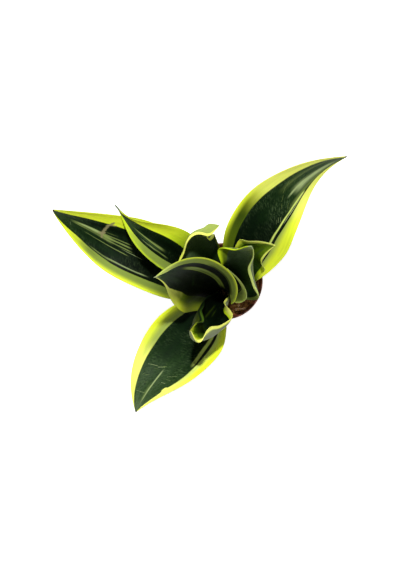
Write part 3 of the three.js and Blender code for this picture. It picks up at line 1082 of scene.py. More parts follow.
    "leaf_sheath": Markings(
        green=((0.0, Tone.DEEP), (0.6, Tone.DARK), (0.85, Tone.GREEN), (1.0, Tone.MOSS)),
        margins=(
            Margin(Side.LEFT, ((0, 0.8), (0.5, 0.8), (0.8, 0.7), (1, 0.6)),
                   inner=Tone.OLIVE, inner_to=0.5, shaded=0.3),
            Margin(Side.RIGHT, ((0, -0.52), (0.5, -0.56), (0.8, -0.6), (1, -0.6)),
                   inner=Tone.STRIPE, outer=Tone.CREAM, inner_to=0.5, pale=Tone.CREAM, pale_from=0.6,
                   shaded=0.2),
        ),
        streaks=(
            Streak(Tone.CREAM, ((0.4, -0.95), (0.55, -0.94), (0.7, -0.94)), 0.05, 0.7, 0.06),
            Streak(Tone.DEEP, ((0.35, -0.6), (0.5, -0.6), (0.7, -0.6)), 0.03, 0.9, 0.06),
        ),
        mottle=0.15,
    ),
}


@dataclass(frozen=True)
class Weave:
    """What varies over a blade: its own places, and noises on its map.

    frayed is the place across, moved a little by the noises, so that what is painted at it
    wavers. strand is long and narrow, drift wide, and dots even and fine.
    """

    along: Signal
    across: Signal
    frayed: Signal
    strand: Signal
    drift: Signal
    dots: Signal


@dataclass(frozen=True)
class LeafSkin:
    """Waxy skin of one blade, painted from its markings.

    The scales are features per metre across the blade and along it. fray and sway: how far the
    fibres and the wide noise move a border, as shares of the half width. broad: softness from
    which a streak lies below the margins. edge: place across that a margin reaches. vein, swell:
    height of the fibres and of the wide relief, in metres.
    """

    name: str
    shape: BladeShape
    marks: Markings
    seed: float
    fibre_scale: Triple = (900, 40, 1)
    strand_scale: Triple = (260, 14, 1)
    drift_scale: Triple = (70, 30, 1)
    dot_scale: Triple = (900, 900, 1)
    bar_scale: Triple = (240, 620, 1)
    speck_scale: Triple = (800, 1100, 1)
    patch_scale: Triple = (60, 34, 1)
    fray: float = 0.05
    sway: float = 0.03
    broad: float = 0.85
    edge: float = 1.02
    gloss: float = 0.5
    vein: float = 0.00012
    swell: float = 0.0012

    def material(self) -> bpy.types.Material:
        """Build the blade's material.

        Returns:
            A material that reads the blade's own numbers and map.
        """
        marks = self.marks
        paint = Paint(self.name + "_skin")
        flat = paint.node("ShaderNodeUVMap", {"uv_map": "blade"}, {}).outputs[0]
        moved = paint.mapped(flat, "Location", (self.seed, self.seed * 2, self.seed))
        weave = self._weave(paint, moved)
        fibre = paint.grain(moved, self.fibre_scale)

        # The ground is darkest at the foot: partly the leaf's own colour, partly painted shade deep in the
        # rosette.
        colour = paint.ramp(weave.along + (weave.drift - 0.5) * 0.2, marks.green)
        colour = self._mottle(paint, colour, moved, weave.along)
        for streak in marks.streaks:
            if streak.soft >= self.broad:
                colour = self._streak(paint, colour, streak, weave)
        for margin in marks.margins:
            colour = self._margin(paint, colour, margin, weave)
        for streak in marks.streaks:
            if streak.soft < self.broad:
                colour = self._streak(paint, colour, streak, weave)
        for fleck in marks.flecks:
            colour = self._fleck(paint, colour, fleck, weave)
        if marks.tip is not None:
            top = weave.along.rise(marks.tip_from, marks.tip_from + 0.5 * (1 - marks.tip_from))
            colour = paint.blend(top, colour, marks.tip)
        under = paint.attribute("under")
        colour = self._under_face(paint, colour, under, weave.across)
        light = 0.86 + fibre * 0.16 + weave.strand * 0.12
        colour = paint.blend(1.0, colour, paint.grey(light), "MULTIPLY")

        relief = fibre * 0.5 + weave.strand * 0.5
        normal = paint.bumps(relief, self.vein)
        normal = paint.bumps(weave.drift, self.swell, normal)
        rough = self.gloss + (weave.strand - 0.5) * 0.18 + under * 0.1
        return paint.finish({
            "Base Color": colour, "Roughness": rough, "Normal": normal,
            "IOR": 1.42, "Specular IOR Level": 0.09,
            "Subsurface Weight": 0.06, "Subsurface Radius": (0.4, 0.7, 0.1), "Subsurface Scale": 0.003,
        })

    def _weave(self, paint: Paint, moved: bpy.types.NodeSocket) -> Weave:
        """Read the blade's places and add its noises.

        Args:
            paint: Material under construction.
            moved: The blade's map, moved by the seed.

        Returns:
            The signals that the markings are painted from.
        """
        across = paint.attribute("across")
        strand = paint.grain(moved, self.strand_scale, 3)
        drift = paint.grain(moved, self.drift_scale)
        frayed = across + (strand - 0.5) * self.fray + (drift - 0.5) * self.sway
        dots = paint.grain(moved, self.dot_scale)
        return Weave(paint.attribute("along"), across, frayed, strand, drift, dots)

    def _under_face(self, paint: Paint, colour: Any, under: Signal, across: Signal) -> Any:
        """Lay the under face's tone over the colour so far.

        Args:
            paint: Material under construction.
            colour: Colour so far.
            under: 1 on the under face and 0 on the upper one.
            across: Place across.

        Returns:
            The colour of both faces.
        """
        marks = self.marks
        beneath = under.rise(0.4, 0.6) * marks.under_share
        if marks.under_rim > 0:
            beneath = beneath * abs(across).fall(marks.under_rim - 0.04, marks.under_rim + 0.04)
        shade: Any = marks.under
        # A dark under_right tone is painted shade on that half of the under face.
        if marks.under_right is not None:
            shade = paint.blend(across.rise(-0.1, 0.1), marks.under_right, shade)
        return paint.blend(beneath, colour, shade)

    def _mottle(self, paint: Paint, colour: Any, moved: Any, along: Signal) -> Any:
        """Scatter the faint pale bars that cross a snake plant's green.

        Args:
            paint: Material under construction.
            colour: Colour so far.
            moved: The blade's map, moved by the seed.
            along: Place along.

        Returns:
            The colour with bars.
        """
        turned = paint.mapped(moved, "Rotation", (0, 0, self.marks.lean))
        bars = paint.grain(turned, self.bar_scale, 4, 0.6)
        specks = paint.grain(moved, self.speck_scale, 2, 0.2)
        patch = paint.grain(moved, self.patch_scale)
        pale_bars = bars.rise(0.46, 0.74) * patch.rise(0.34, 0.62)
        pale_specks = specks.rise(0.5, 0.72) * patch.rise(0.4, 0.66) * 0.5
        amount = (pale_bars + pale_specks) * along.rise(0.25, 0.6) * self.marks.mottle * 0.75
        colour = paint.blend(amount, colour, Tone.ASH)
        return paint.blend(bars.fall(0.34, 0.5) * 0.4, colour, Tone.DEEP)

    def _margin(self, paint: Paint, colour: Any, margin: Margin, weave: Weave) -> Any:
        """Lay one yellow margin over the green.

        Args:
            paint: Material under construction.
            colour: Colour so far.
            margin: The margin.
            weave: Signals of the blade.

        Returns:
            The colour with the margin.
        """
        along, sign = weave.along, margin.side.value
        border = paint.track(along, margin.border) * sign
        reach = weave.frayed * sign - border
        share = reach / (self.edge - border)
        outer = share.rise(margin.inner_to - 0.3, margin.inner_to + 0.3)
        tone = paint.blend(outer, margin.inner, margin.outer)
        if margin.inner_end < 1:
            clear = along.rise(margin.inner_end - 0.2, margin.inner_end + 0.08)
            tone = paint.blend(clear, tone, margin.outer)
        wavering = along + (weave.drift - 0.5) * 0.25
        pale = wavering.rise(margin.pale_from - 0.12, margin.pale_from + 0.1)
        tone = paint.blend(pale * 0.9, tone, margin.pale)
        tone = paint.blend(weave.strand.rise(0.5, 0.75) * 0.22, tone, Tone.FRESH)
        # Painted shade, partly the leaf's own deeper colour: the margin darkens towards the foot.
        shade = along.fall(margin.shaded - 0.12, margin.shaded + 0.1)
        tone = paint.blend(shade * 0.85, tone, margin.shade)
        return paint.blend(reach.rise(-0.012, 0.018), colour, tone)

    def _streak(self, paint: Paint, colour: Any, streak: Streak, weave: Weave) -> Any:
        """Lay one lengthwise stripe over the colour so far.

        Args:
            paint: Material under construction.
            colour: Colour so far.
            streak: The stripe.
            weave: Signals of the blade.

        Returns:
            The colour with the stripe.
        """
        along = weave.along
        first, last = streak.path[0][0], streak.path[-1][0]
        gap = abs(weave.frayed - paint.track(along, streak.path))
        window = along.rise(first, first + streak.fade) * along.fall(last - streak.fade, last)
        body = gap.fall(streak.width * (1 - streak.soft), streak.width * (1 + 0.5 * streak.soft))
        grain = weave.strand.rise(0.3, 0.5) * 0.5 + 0.5
        return paint.blend(window * body * grain * streak.amount, colour, streak.tone)

    def _fleck(self, paint: Paint, colour: Any, fleck: Fleck, weave: Weave) -> Any:
        """Lay one short straight mark over the colour so far.

        Args:
            paint: Material under construction.
            colour: Colour so far.
            fleck: The mark.
            weave: Signals of the blade.

        Returns:
            The colour with the mark.
        """
        (t0, v0), (t1, v1) = fleck.start, fleck.end
        middle = np.array([(t0 + t1) / 2])
        half = self.shape.half[0 if v0 + v1 > 0 else 1] * float(self.shape.width_share(middle)[0])
        length = self.shape.length()
        run_x, run_y = (v1 - v0) * half, (t1 - t0) * length
        x, y = (weave.across - v0) * half, (weave.along - t0) * length
        share = ((x * run_x + y * run_y) / (run_x**2 + run_y**2)).held()
        gap_x, gap_y = x - share * run_x, y - share * run_y
        gap = (gap_x * gap_x + gap_y * gap_y) ** 0.5 + (weave.dots - 0.5) * fleck.width * 0.9
        body = gap.fall(fleck.width * 0.2, fleck.width * 0.62)
        return paint.blend(body * fleck.amount, colour, fleck.tone)


@dataclass
class Leaf:
    """One leaf: a thick blade that rises from the crown.

    margin_crowd, tip_crowd: how much the face's columns gather towards the margins, and its
    rows towards the tip. tip_round: share of the length over which the tip thins out.
    foot_run: share over which it comes from the level foot to its own section. under_shift:
    how far the under face lies from the upper one on the map, in metres. sharpest: angle up
    to which edges are shaded smooth, in degrees.
    """

    name: str
    shape: BladeShape
    marks: Markings
    seed: float
    rows: int = 110
    face_columns: int = 30
    edge_columns: int = 4
    margin_crowd: float = 0.35
    tip_crowd: float = 1.25
    tip_round: float = 0.012
    foot_run: float = 0.045
    under_shift: float = 0.2
    sharpest: float = 60.0

    def _loop(self) -> tuple[np.ndarray, np.ndarray]:
        """Go once round a section of the blade.

        Returns:
            Places across from -1 to 1, and turns from 0 on the upper face to pi on the under one.
        """
        face = np.linspace(-1, 1, self.face_columns + 1)
        face = np.sin(face * np.pi / 2) * self.margin_crowd + face * (1 - self.margin_crowd)
        edge = np.linspace(0, np.pi, self.edge_columns + 2)[1:-1]
        half = self.face_columns // 2
        across = np.concatenate([
            face[half:], np.ones(self.edge_columns), face[::-1],
            -np.ones(self.edge_columns), face[:half + 1],
        ])
        turn = np.concatenate([
            np.zeros(half + 1), edge, np.full(self.face_columns + 1, np.pi),
            edge[::-1], np.zeros(half + 1),
        ])
        return across, turn

    def _skin_points(self, t: np.ndarray, v: np.ndarray, turn: np.ndarray) -> np.ndarray:
        """Find points on the outside of the blade.

        Args:
            t: Places along.
            v: Places across.
            turn: Turns from the upper face to the under one.

        Returns:
            Points in millimetres.
        """
        past = np.clip(t - (1 - self.tip_round), 0, None) / self.tip_round
        radius = self.shape.thickness(t, v) / 2 * np.sqrt(np.clip(1 - past**2, 0, 1))
        half = self.shape.half_width(v) * self.shape.width_share(t)
        rim = self.shape.thickness(t, np.ones_like(v))
        inset = 1 - np.minimum(0.5, 0.5 * rim / np.maximum(half, TINY))
        place, normal, outward = self.shape.sheet(t, v * inset)
        bulge = np.where(np.abs(v) >= 1, np.sin(turn), 0)
        return place + normal * (radius * np.cos(turn))[:, None] + outward * (radius * bulge)[:, None]

    def build(self) -> bpy.types.Object:
        """Build the closed blade from a grid that is wrapped once round it.

        Returns:
            The leaf's object.
        """
        across, turn = self._loop()
        loop = len(across) - 1
        thing = primitive(
            bpy.ops.mesh.primitive_grid_add, self.name + "_blade",
            x_subdivisions=loop, y_subdivisions=self.rows, size=2,
        )
        mesh = thing.data
        flat = coordinates(mesh)
        column = np.rint((flat[:, 0] + 1) / 2 * loop).astype(int)
        t = 1 - (1 - (flat[:, 1] + 1) / 2) ** self.tip_crowd
        v, a = across[column], turn[column]

        points = self._skin_points(t, v, a)
        first = self._skin_points(np.zeros_like(t), v, a)
        first[:, 2] = FOOT_LEVEL
        second = self._skin_points(np.full_like(t, self.foot_run), v, a)
        share = np.clip(t / self.foot_run, 0, 1)[:, None]
        points = np.where(t[:, None] < self.foot_run, first * (1 - share) + second * share, points)
        move_to(mesh, points * MM)

        give_numbers(mesh, "along", t)
        give_numbers(mesh, "across", v)
        give_numbers(mesh, "under", a / np.pi)
        side = v * self.shape.half_width(v) * MM + np.where(a > np.pi / 2, self.under_shift, 0.0)
        give_map(mesh, "blade", np.stack([side, t * self.shape.length() * MM], axis=1))
        open_sheet(thing)
        close_rim()
        smooth(self.sharpest)
        return thing

    def dress(self, thing: bpy.types.Object) -> None:
        """Give the leaf its skin and fix it to the plant."""
        wear(thing, LeafSkin(self.name, self.shape, self.marks, self.seed).material())
        rank(thing, "leaf", self.name)


# Pot


class PotTone(Enum):
    """Colours of the pot's plastic."""

    LOW = linear(112, 58, 40)
    HIGH = linear(140, 80, 58)
    DUST = linear(150, 105, 78)


@dataclass(frozen=True)
class PotPlastic:
    """Thin satin brown plastic with fine swirls from the mould.

    The scales are features per metre, and the depths are in metres.
    """

    name: str = "pot_plastic_skin"
    drift_scale: float = 45
    swirl_scale: Triple = (60, 60, 900)
    dust_scale: float = 700
    swirl_depth: float = 0.00006
    dust_depth: float = 0.00005

    def material(self) -> bpy.types.Material:
        """Build the plastic.

        Returns:
            The material.
        """
        paint = Paint(self.name)
        place = paint.place()
        drift = paint.cloud(place, self.drift_scale, 3)
        swirl = paint.grain(place, self.swirl_scale)
        dust = paint.cloud(place, self.dust_scale, 3)
        colour = paint.ramp(drift, ((0.3, PotTone.LOW), (0.7, PotTone.HIGH)))
        colour = paint.blend(dust.rise(0.55, 0.75) * 0.25, colour, PotTone.DUST)
        normal = paint.bumps(swirl, self.swirl_depth)
        normal = paint.bumps(dust, self.dust_depth, normal)
        rough = 0.38 + drift * 0.25
        return paint.finish({"Base Color": colour, "Roughness": rough, "Normal": normal, "IOR": 1.5})


@dataclass
class Pot:
    """Thin tapered nursery pot, with a rim band, a stepped shoulder and drain holes.

    Sizes are in millimetres. levels: heights at which the wall has a ring. bead: heights
    between which the wall stands out by bead_lift. sharpest: angle up to which edges are
    shaded smooth, in degrees.
    """

    height: float = 80.0
    rim_radius: float = 44.5
    rim_band: float = 8.0
    shoulder_radius: float = 42.6
    base_radius: float = 31.0
    wall: float = 1.3
    floor: float = 1.6
    levels: tuple[float, ...] = (6, 14, 24, 34, 44, 54, 62)
    bead: tuple[float, float] = (66.0, 67.0)
    bead_lift: float = 0.12
    drains: int = 8
    drain_radius: float = 3.5
    drain_circle: float = 23.0
    drain_sides: int = 28
    sides: int = 144
    sharpest: float = 35.0

    def _wall_at(self, height: float) -> float:
        """Outer radius of the tapered wall at a height."""
        taper = (self.shoulder_radius - self.base_radius) / (self.height - self.rim_band)
        return self.base_radius + taper * height

    def _profile(self) -> list[tuple[float, float]]:
        """List the radii and heights of the wall, from the base's edge up and down inside.

        Returns:
            Pairs of radius and height, in millimetres.
        """
        band, top, low, high = self.height - self.rim_band, self.height, *self.bead
        base, shoulder, rim = self.base_radius, self.shoulder_radius, self.rim_radius
        inside, lift = rim - self.wall, self.bead_lift
        foot = [(base - 3.5, 0.0), (base - 1.0, 0.0), (base - 0.25, 0.25), (base, 1.0)]
        side = [(self._wall_at(height), height) for height in self.levels]
        bead = [
            (self._wall_at(low), low), (self._wall_at(low) + lift, low + 0.3),
            (self._wall_at(high) + lift, high), (self._wall_at(high + 0.3), high + 0.3),
        ]
        outer_band = [
            (shoulder - 0.1, band - 0.3), (shoulder + 0.3, band),
            (rim - 0.35, band + 0.25), (rim, band + 0.7),
            (rim, top - 0.8), (rim - 0.15, top - 0.3), (rim - 0.5, top),
        ]
        inner_wall = [
            (inside, top), (inside - 0.3, top - 0.25), (inside - 0.4, top - 0.8),
            (inside - 0.6, band + 1.0), (shoulder - self.wall, band - 1.0),
            (self._wall_at(self.floor) - self.wall, self.floor),
        ]
        return foot + side + bead + outer_band + inner_wall

    def build(self) -> bpy.types.Object:
        """Build the pot ring by ring from a circle, then punch its drain holes.

        Returns:
            The pot's object.
        """
        profile = self._profile()
        pot = primitive(
            bpy.ops.mesh.primitive_circle_add, "pot_shell",
            vertices=self.sides, radius=profile[0][0] * MM, fill_type="NGON",
        )
        bpy.ops.object.mode_set(mode="EDIT")
        pick_rims()
        for (r0, z0), (r1, z1) in zip(profile, profile[1:]):
            bpy.ops.mesh.extrude_edges_move(TRANSFORM_OT_translate={"value": (0, 0, (z1 - z0) * MM)})
            bpy.ops.transform.resize(value=(r1 / r0, r1 / r0, 1), center_override=(0, 0, z1 * MM))
        close_rim()
        self._punch(pot)
        smooth(self.sharpest)
        return pot

    def _punch(self, pot: bpy.types.Object) -> None:
        """Cut the drain holes with rods that are joined to one cutter.

        Args:
            pot: The pot without holes.
        """
        rods = []
        for k in range(self.drains):
            turn = 2 * math.pi * (k + 0.5) / self.drains
            x, y = self.drain_circle * math.cos(turn), self.drain_circle * math.sin(turn)
            rods.append(primitive(
                bpy.ops.mesh.primitive_cylinder_add, "drain_rod",
                vertices=self.drain_sides, radius=self.drain_radius * MM,
                depth=4 * self.floor * MM, location=(x * MM, y * MM, self.floor * MM),
            ))
        cutter = joined(rods)
        only(pot)
        cut = pot.modifiers.new("drains", "BOOLEAN")
        cut.operation = "DIFFERENCE"
        cut.object = cutter
        cut.solver = "EXACT"
        bpy.ops.object.modifier_apply(modifier=cut.name)
        bpy.data.objects.remove(cutter, do_unlink=True)

    def dress(self, pot: bpy.types.Object) -> None:
        """Give the pot its plastic and fix it to the plant."""
        wear(pot, PotPlastic().material())
        rank(pot, "pot_plastic", "pot")


# Soil


class SoilTone(Enum):
    """Colours of the potting soil and what lies in it, and of the painted shade round the crown."""

    BLACK = linear(50, 30, 14)
    DARK = linear(116, 76, 38)
    BROWN = linear(172, 120, 64)
    TAN = linear(222, 176, 112)
    CHIP = linear(255, 214, 176)
    ROOT = linear(190, 150, 110)
    # Painted shade round the crown.
    DAMP = linear(18, 10, 6)


@dataclass(frozen=True)
class CrownShade:
    """Painted shade on the soil round the crown, deep in the rosette, between two distances in metres."""

    full_to: float = 0.012
    clear_from: float = 0.021
    amount: float = 0.9

    def over(self, paint: Paint, colour: Any, place: bpy.types.NodeSocket) -> Any:
        """Paint shade over the soil's colour round the crown.

        Args:
            paint: Material under construction.
            colour: The soil's colour.
            place: Object coordinates.

        Returns:
            The colour with the painted shade.
        """
        crown = tuple(part * MM for part in CROWN)
        links = {0: place, 1: crown}
        away = paint.signal("ShaderNodeVectorMath", {"operation": "DISTANCE"}, links, "Value")
        return paint.blend(away.fall(self.full_to, self.clear_from) * self.amount, colour, SoilTone.DAMP)


@dataclass(frozen=True)
class Earth:
    """Moist dark peat, with grains of several browns.

    The scales are features per metre, and the depths are in metres.
    """

    name: str = "soil_skin"
    grain_scale: float = 900
    clod_scale: float = 220
    speck_scale: float = 520.0
    grain_depth: float = 0.0009
    clod_depth: float = 0.0012

    def material(self) -> bpy.types.Material:
        """Build the peat.

        Returns:
            The material.
        """
        paint = Paint(self.name)
        place = paint.place()
        grain = paint.cloud(place, self.grain_scale, 4, 0.4)
        clod = paint.cloud(place, self.clod_scale, 3, 0.5)
        links = {"Vector": place, "Scale": self.speck_scale}
        speck = paint.signal("ShaderNodeTexVoronoi", {"feature": "F1"}, links, "Distance")
        stops = ((0.3, SoilTone.BLACK), (0.45, SoilTone.DARK), (0.6, SoilTone.BROWN), (0.78, SoilTone.TAN))
        colour = paint.ramp(grain * 0.6 + clod * 0.4, stops)
        colour = paint.blend(speck.fall(0.08, 0.2) * clod.rise(0.5, 0.6) * 0.6, colour, SoilTone.TAN)
        # Painted shade: the soil turns near black round the crown.
        colour = CrownShade().over(paint, colour, place)
        normal = paint.bumps(grain, self.grain_depth)
        normal = paint.bumps(clod, self.clod_depth, normal)
        return paint.finish({
            "Base Color": colour, "Roughness": 0.82 + grain * 0.15, "Normal": normal,
            "Specular IOR Level": 0.25,
        })


@dataclass(frozen=True)
class Crumb:
    """Skin of the loose crumbs, each with a brown of its own."""

    name: str = "crumb_skin"
    grain_scale: float = 1500
    grain_depth: float = 0.0005

    def material(self) -> bpy.types.Material:
        """Build the crumbs' material.

        Returns:
            The material.
        """
        paint = Paint(self.name)
        place = paint.place()
        grain = paint.cloud(place, self.grain_scale, 3)
        own = paint.attribute("own")
        stops = ((0.0, SoilTone.BLACK), (0.35, SoilTone.DARK), (0.7, SoilTone.BROWN), (0.95, SoilTone.TAN))
        colour = paint.ramp(own + (grain - 0.5) * 0.5, stops)
        # Painted shade: the crumbs turn near black round the crown.
        colour = CrownShade().over(paint, colour, place)
        return paint.finish({
            "Base Color": colour, "Roughness": 0.85 + grain * 0.1,
            "Normal": paint.bumps(grain, self.grain_depth), "Specular IOR Level": 0.25,
        })


@dataclass(frozen=True)
class ChipWood:
    """Pale fibrous chips of bark and dry root."""

    name: str = "chip_skin"
    fibre_scale: Triple = (300, 2400, 2400)
    fibre_depth: float = 0.0003

    def material(self) -> bpy.types.Material:
        """Build the chips' material.

        Returns:
            The material.
        """
        paint = Paint(self.name)
        fibre = paint.grain(paint.place(), self.fibre_scale, 3)
        colour = paint.blend(fibre.rise(0.35, 0.65), SoilTone.ROOT, SoilTone.CHIP)
        colour = paint.blend(paint.attribute("own"), colour, SoilTone.TAN)
        return paint.finish({
            "Base Color": colour, "Roughness": 0.7 + fibre * 0.2,
            "Normal": paint.bumps(fibre, self.fibre_depth), "Specular IOR Level": 0.3,
        })


@dataclass(frozen=True)
class Chip:
    """A loose pale chip on the soil, in millimetres; own is the share of its duller tone."""

    x: float
    y: float
    turn: float
    length: float
    width: float
    height: float
    own: float


@dataclass(frozen=True)
class Soil:
    """Potting soil: the body that fills the pot, loose crumbs on it, and pale chips.

    Sizes are in millimetres. face_level: height at which the side has the full radius.
    wall_levels: heights at which the side has a ring. hollow: how much lower the face is at
    the rim. crumb_grades: sizes of the crumbs, as shares of the model. crumb_lift: how far a
    crumb of the model's size is above the face. chip_lift: the same for a chip, as a share of
    its height. laid: the chips that stand out in the photo; the dull ones are strewn. tones:
    ends between which a piece's own number is drawn. Angles are in radians, and sharpest,
    up to which edges are shaded smooth, in degrees.
    """

    radius: float = 40.9
    base_radius: float = 29.9
    bottom: float = 1.9
    face_level: float = 69.0
    wall_levels: tuple[float, ...] = (45.0, 20.0)
    hollow: float = 1.3
    broad_width: float = 9.0
    broad_height: float = 0.7
    clod_width: float = 3.2
    clod_height: float = 1.3
    clod_middle: float = 0.45
    grit_width: float = 1.1
    grit_height: float = 0.3
    sides: int = 200
    rings: int = 46
    sharpest: float = 50.0
    crumbs: int = 620
    crumb_kinds: int = 6
    crumb_size: Triple = (1.9, 1.6, 1.2)
    crumb_rough: float = 0.9
    crumb_lift: float = 0.15
    crumb_tilt: float = 0.7
    crumb_tones: tuple[float, float] = (0.1, 0.95)
    crumb_grades: tuple[float, ...] = (0.45, 0.6, 0.75, 1.0, 1.35)
    chip_kinds: int = 4
    chip_rough: float = 0.5
    chip_lift: float = 0.75
    laid: tuple[Chip, ...] = (
        Chip(18.9, -32.2, 0.04, 8.8, 1.3, 0.9, 0.0),
        Chip(17.4, -28.3, 0.6, 1.9, 1.5, 1.1, 0.15),
    )
    dull_chips: int = 46
    dull_lengths: tuple[float, float] = (1.2, 3.6)
    dull_widths: tuple[float, float] = (0.5, 0.9)
    dull_height: float = 0.5
    dull_tones: tuple[float, float] = (0.45, 0.95)
    seed: int = 11

    def height(self, x: float, y: float) -> float:
        """Height of the soil's face at a place.

        Args:
            x: Millimetres to the right.
            y: Millimetres up the photo.

        Returns:
            Height in millimetres.
        """
        far = math.hypot(x, y) / self.radius
        broad = noise.noise(Vector((x / self.broad_width, y / self.broad_width, 3.1)))
        clods = noise.voronoi(Vector((x / self.clod_width, y / self.clod_width, 0.7)))[0][0]
        grit = noise.noise(Vector((x / self.grit_width, y / self.grit_width, 8.2)))
        level = SOIL_TOP - 0.2 - self.hollow * far**3 + broad * self.broad_height
        return level + (self.clod_middle - clods) * self.clod_height + grit * self.grit_height

    def build_body(self) -> bpy.types.Object:
        """Build the soil's body: a grid wrapped into a disc with a rough face, drawn down to the floor.

        Returns:
            The body's object.
        """
        thing = primitive(
            bpy.ops.mesh.primitive_grid_add, "soil_body",
            x_subdivisions=self.sides, y_subdivisions=self.rings, size=2,
        )
        flat = coordinates(thing.data)
        turn = (flat[:, 0] + 1) * np.pi
        reach = (flat[:, 1] + 1) / 2 * self.radius
        x, y = reach * np.cos(turn), reach * np.sin(turn)
        z = np.array([self.height(a, b) for a, b in zip(x, y)])
        z[reach < TINY] = self.height(0, 0)
        move_to(thing.data, np.stack([x, y, z], axis=1) * MM)
        open_sheet(thing)
        slope = self.radius - self.base_radius
        rings = [(level, self.base_radius + slope * level / self.face_level) for level in self.wall_levels]
        before = self.radius
        for level, radius in [*rings, (self.bottom, self.base_radius)]:
            share, centre = radius / before, (0, 0, level * MM)
            bpy.ops.mesh.extrude_edges_move()
            bpy.ops.transform.resize(value=(1, 1, 0), center_override=centre)
            bpy.ops.transform.resize(value=(share, share, 1), center_override=centre)
            before = radius
        close_rim()
        smooth(self.sharpest)
        return thing

    def _lump(self, name: str, stretch: Triple, rough: float, seed: float) -> bpy.types.Object:
        """Model one loose piece from a divided cube.

        Args:
            name: Name of the piece.
            stretch: Its size along each axis, in millimetres.
            rough: How uneven it is.
            seed: Number that makes it differ from the others.

        Returns:
            The piece at the origin.
        """
        thing = primitive(bpy.ops.mesh.primitive_cube_add, name, size=1)
        bpy.ops.object.mode_set(mode="EDIT")
        bpy.ops.mesh.select_all(action="SELECT")
        bpy.ops.mesh.subdivide(number_cuts=1, smoothness=1.0)
        bpy.ops.mesh.normals_make_consistent(inside=False)
        bpy.ops.object.mode_set(mode="OBJECT")
        points = coordinates(thing.data)
        for row, point in enumerate(points):
            wobble = 1 + rough * noise.noise(Vector(point) * 2.3 + Vector((seed, seed * 1.7, 0)))
            points[row] = point * wobble
        move_to(thing.data, points * np.array(stretch) * MM)
        return thing

    def _scatter(
        self, name: str, kinds: list[bpy.types.Object], spots: list[tuple[Matrix, float]],
    ) -> bpy.types.Object:
        """Copy loose pieces to their places and join the copies.

        Args:
            name: Name of the joined piece.
            kinds: Pieces to copy, in turn.
            spots: Place and own tone of each copy.

        Returns:
            The joined piece.
        """
        copies = []
        for k, (where, own) in enumerate(spots):
            mesh = kinds[k % len(kinds)].data.copy()
            mesh.transform(where)
            give_numbers(mesh, "own", np.full(len(mesh.vertices), own))
            copy = bpy.data.objects.new(name, mesh)
            bpy.context.scene.collection.objects.link(copy)
            copies.append(copy)
        whole = joined(copies)
        whole.name = name
        for model in kinds:
            bpy.data.objects.remove(model, do_unlink=True)
        return whole

    def _spot(self, dice: random.Random, nearest: float, margin: float) -> tuple[float, float]:
        """Draw a place on the face, evenly spread.

        Args:
            dice: Source of random numbers.
            nearest: Share of the face's area, round its middle, that stays free.
            margin: Millimetres at the rim that stay free.

        Returns:
            Millimetres to the right, and up the photo.
        """
        far = math.sqrt(dice.uniform(nearest, 1)) * (self.radius - margin)
        turn = dice.uniform(0, 2 * math.pi)
        return far * math.cos(turn), far * math.sin(turn)

    def _set_down(self, x: float, y: float, above: float, *turns: Matrix) -> Matrix:
        """Give the place of a loose piece on the face.

        Args:
            x: Millimetres to the right.
            y: Millimetres up the photo.
            above: How far its middle is above the face.
            turns: Its turns and its size, the outermost first.

        Returns:
            The piece's matrix.
        """
        where = Matrix.Translation(Vector((x, y, self.height(x, y) + above)) * MM)
        for turn in turns:
            where = where @ turn
        return where

    def build_crumbs(self) -> bpy.types.Object:
        """Strew crumbs of peat over the face of the soil.

        Returns:
            All crumbs as one piece.
        """
        dice = random.Random(self.seed)
        kinds = [
            self._lump(f"crumb_{k}", self.crumb_size, self.crumb_rough, k * 3.7)
            for k in range(self.crumb_kinds)
        ]
        spots = []
        for _ in range(self.crumbs):
            x, y = self._spot(dice, 0.05, 1.2)
            size = dice.choice(self.crumb_grades)
            where = self._set_down(
                x, y, self.crumb_lift * size,
                Matrix.Rotation(dice.uniform(0, 6.28), 4, "Z"),
                Matrix.Rotation(dice.uniform(-self.crumb_tilt, self.crumb_tilt), 4, "X"),
                Matrix.Diagonal((size, size, size, 1)),
            )
            spots.append((where, dice.uniform(*self.crumb_tones)))
        return self._scatter("soil_crumbs", kinds, spots)

    def build_chips(self) -> bpy.types.Object:
        """Lay the pale chips: a long one and a small round one near the rim, and some dull ones.

        Returns:
            All chips as one piece.
        """
        dice = random.Random(self.seed + 5)
        kinds = [
            self._lump(f"chip_{k}", (1, 1, 1), self.chip_rough, k * 2.1 + 9)
            for k in range(self.chip_kinds)
        ]
        chips = list(self.laid)
        for _ in range(self.dull_chips):
            x, y = self._spot(dice, 0.15, 4)
            length = dice.uniform(*self.dull_lengths)
            turn = dice.uniform(0, 3.1)
            width = dice.uniform(*self.dull_widths)
            own = dice.uniform(*self.dull_tones)
            chips.append(Chip(x, y, turn, length, width, self.dull_height, own))
        spots = []
        for chip in chips:
            where = self._set_down(
                chip.x, chip.y, self.chip_lift * chip.height,
                Matrix.Rotation(chip.turn, 4, "Z"),
                Matrix.Diagonal((chip.length, chip.width, chip.height, 1)),
            )
            spots.append((where, chip.own))
        return self._scatter("soil_chips", kinds, spots)

    def build(self) -> None:
        """Build and dress the body, the crumbs and the chips."""
        body = self.build_body()
        wear(body, Earth().material())
        rank(body, "soil", "soil")
        for build, skin in ((self.build_crumbs, Crumb()), (self.build_chips, ChipWood())):
            loose = build()
            wear(loose, skin.material())
            rank(loose, "soil")


# Rhizome


class FleshTone(Enum):
    """Colours of the underground stem."""

    PALE = linear(214, 176, 118)
    OCHRE = linear(176, 128, 70)
    SCALE = linear(120, 82, 46)


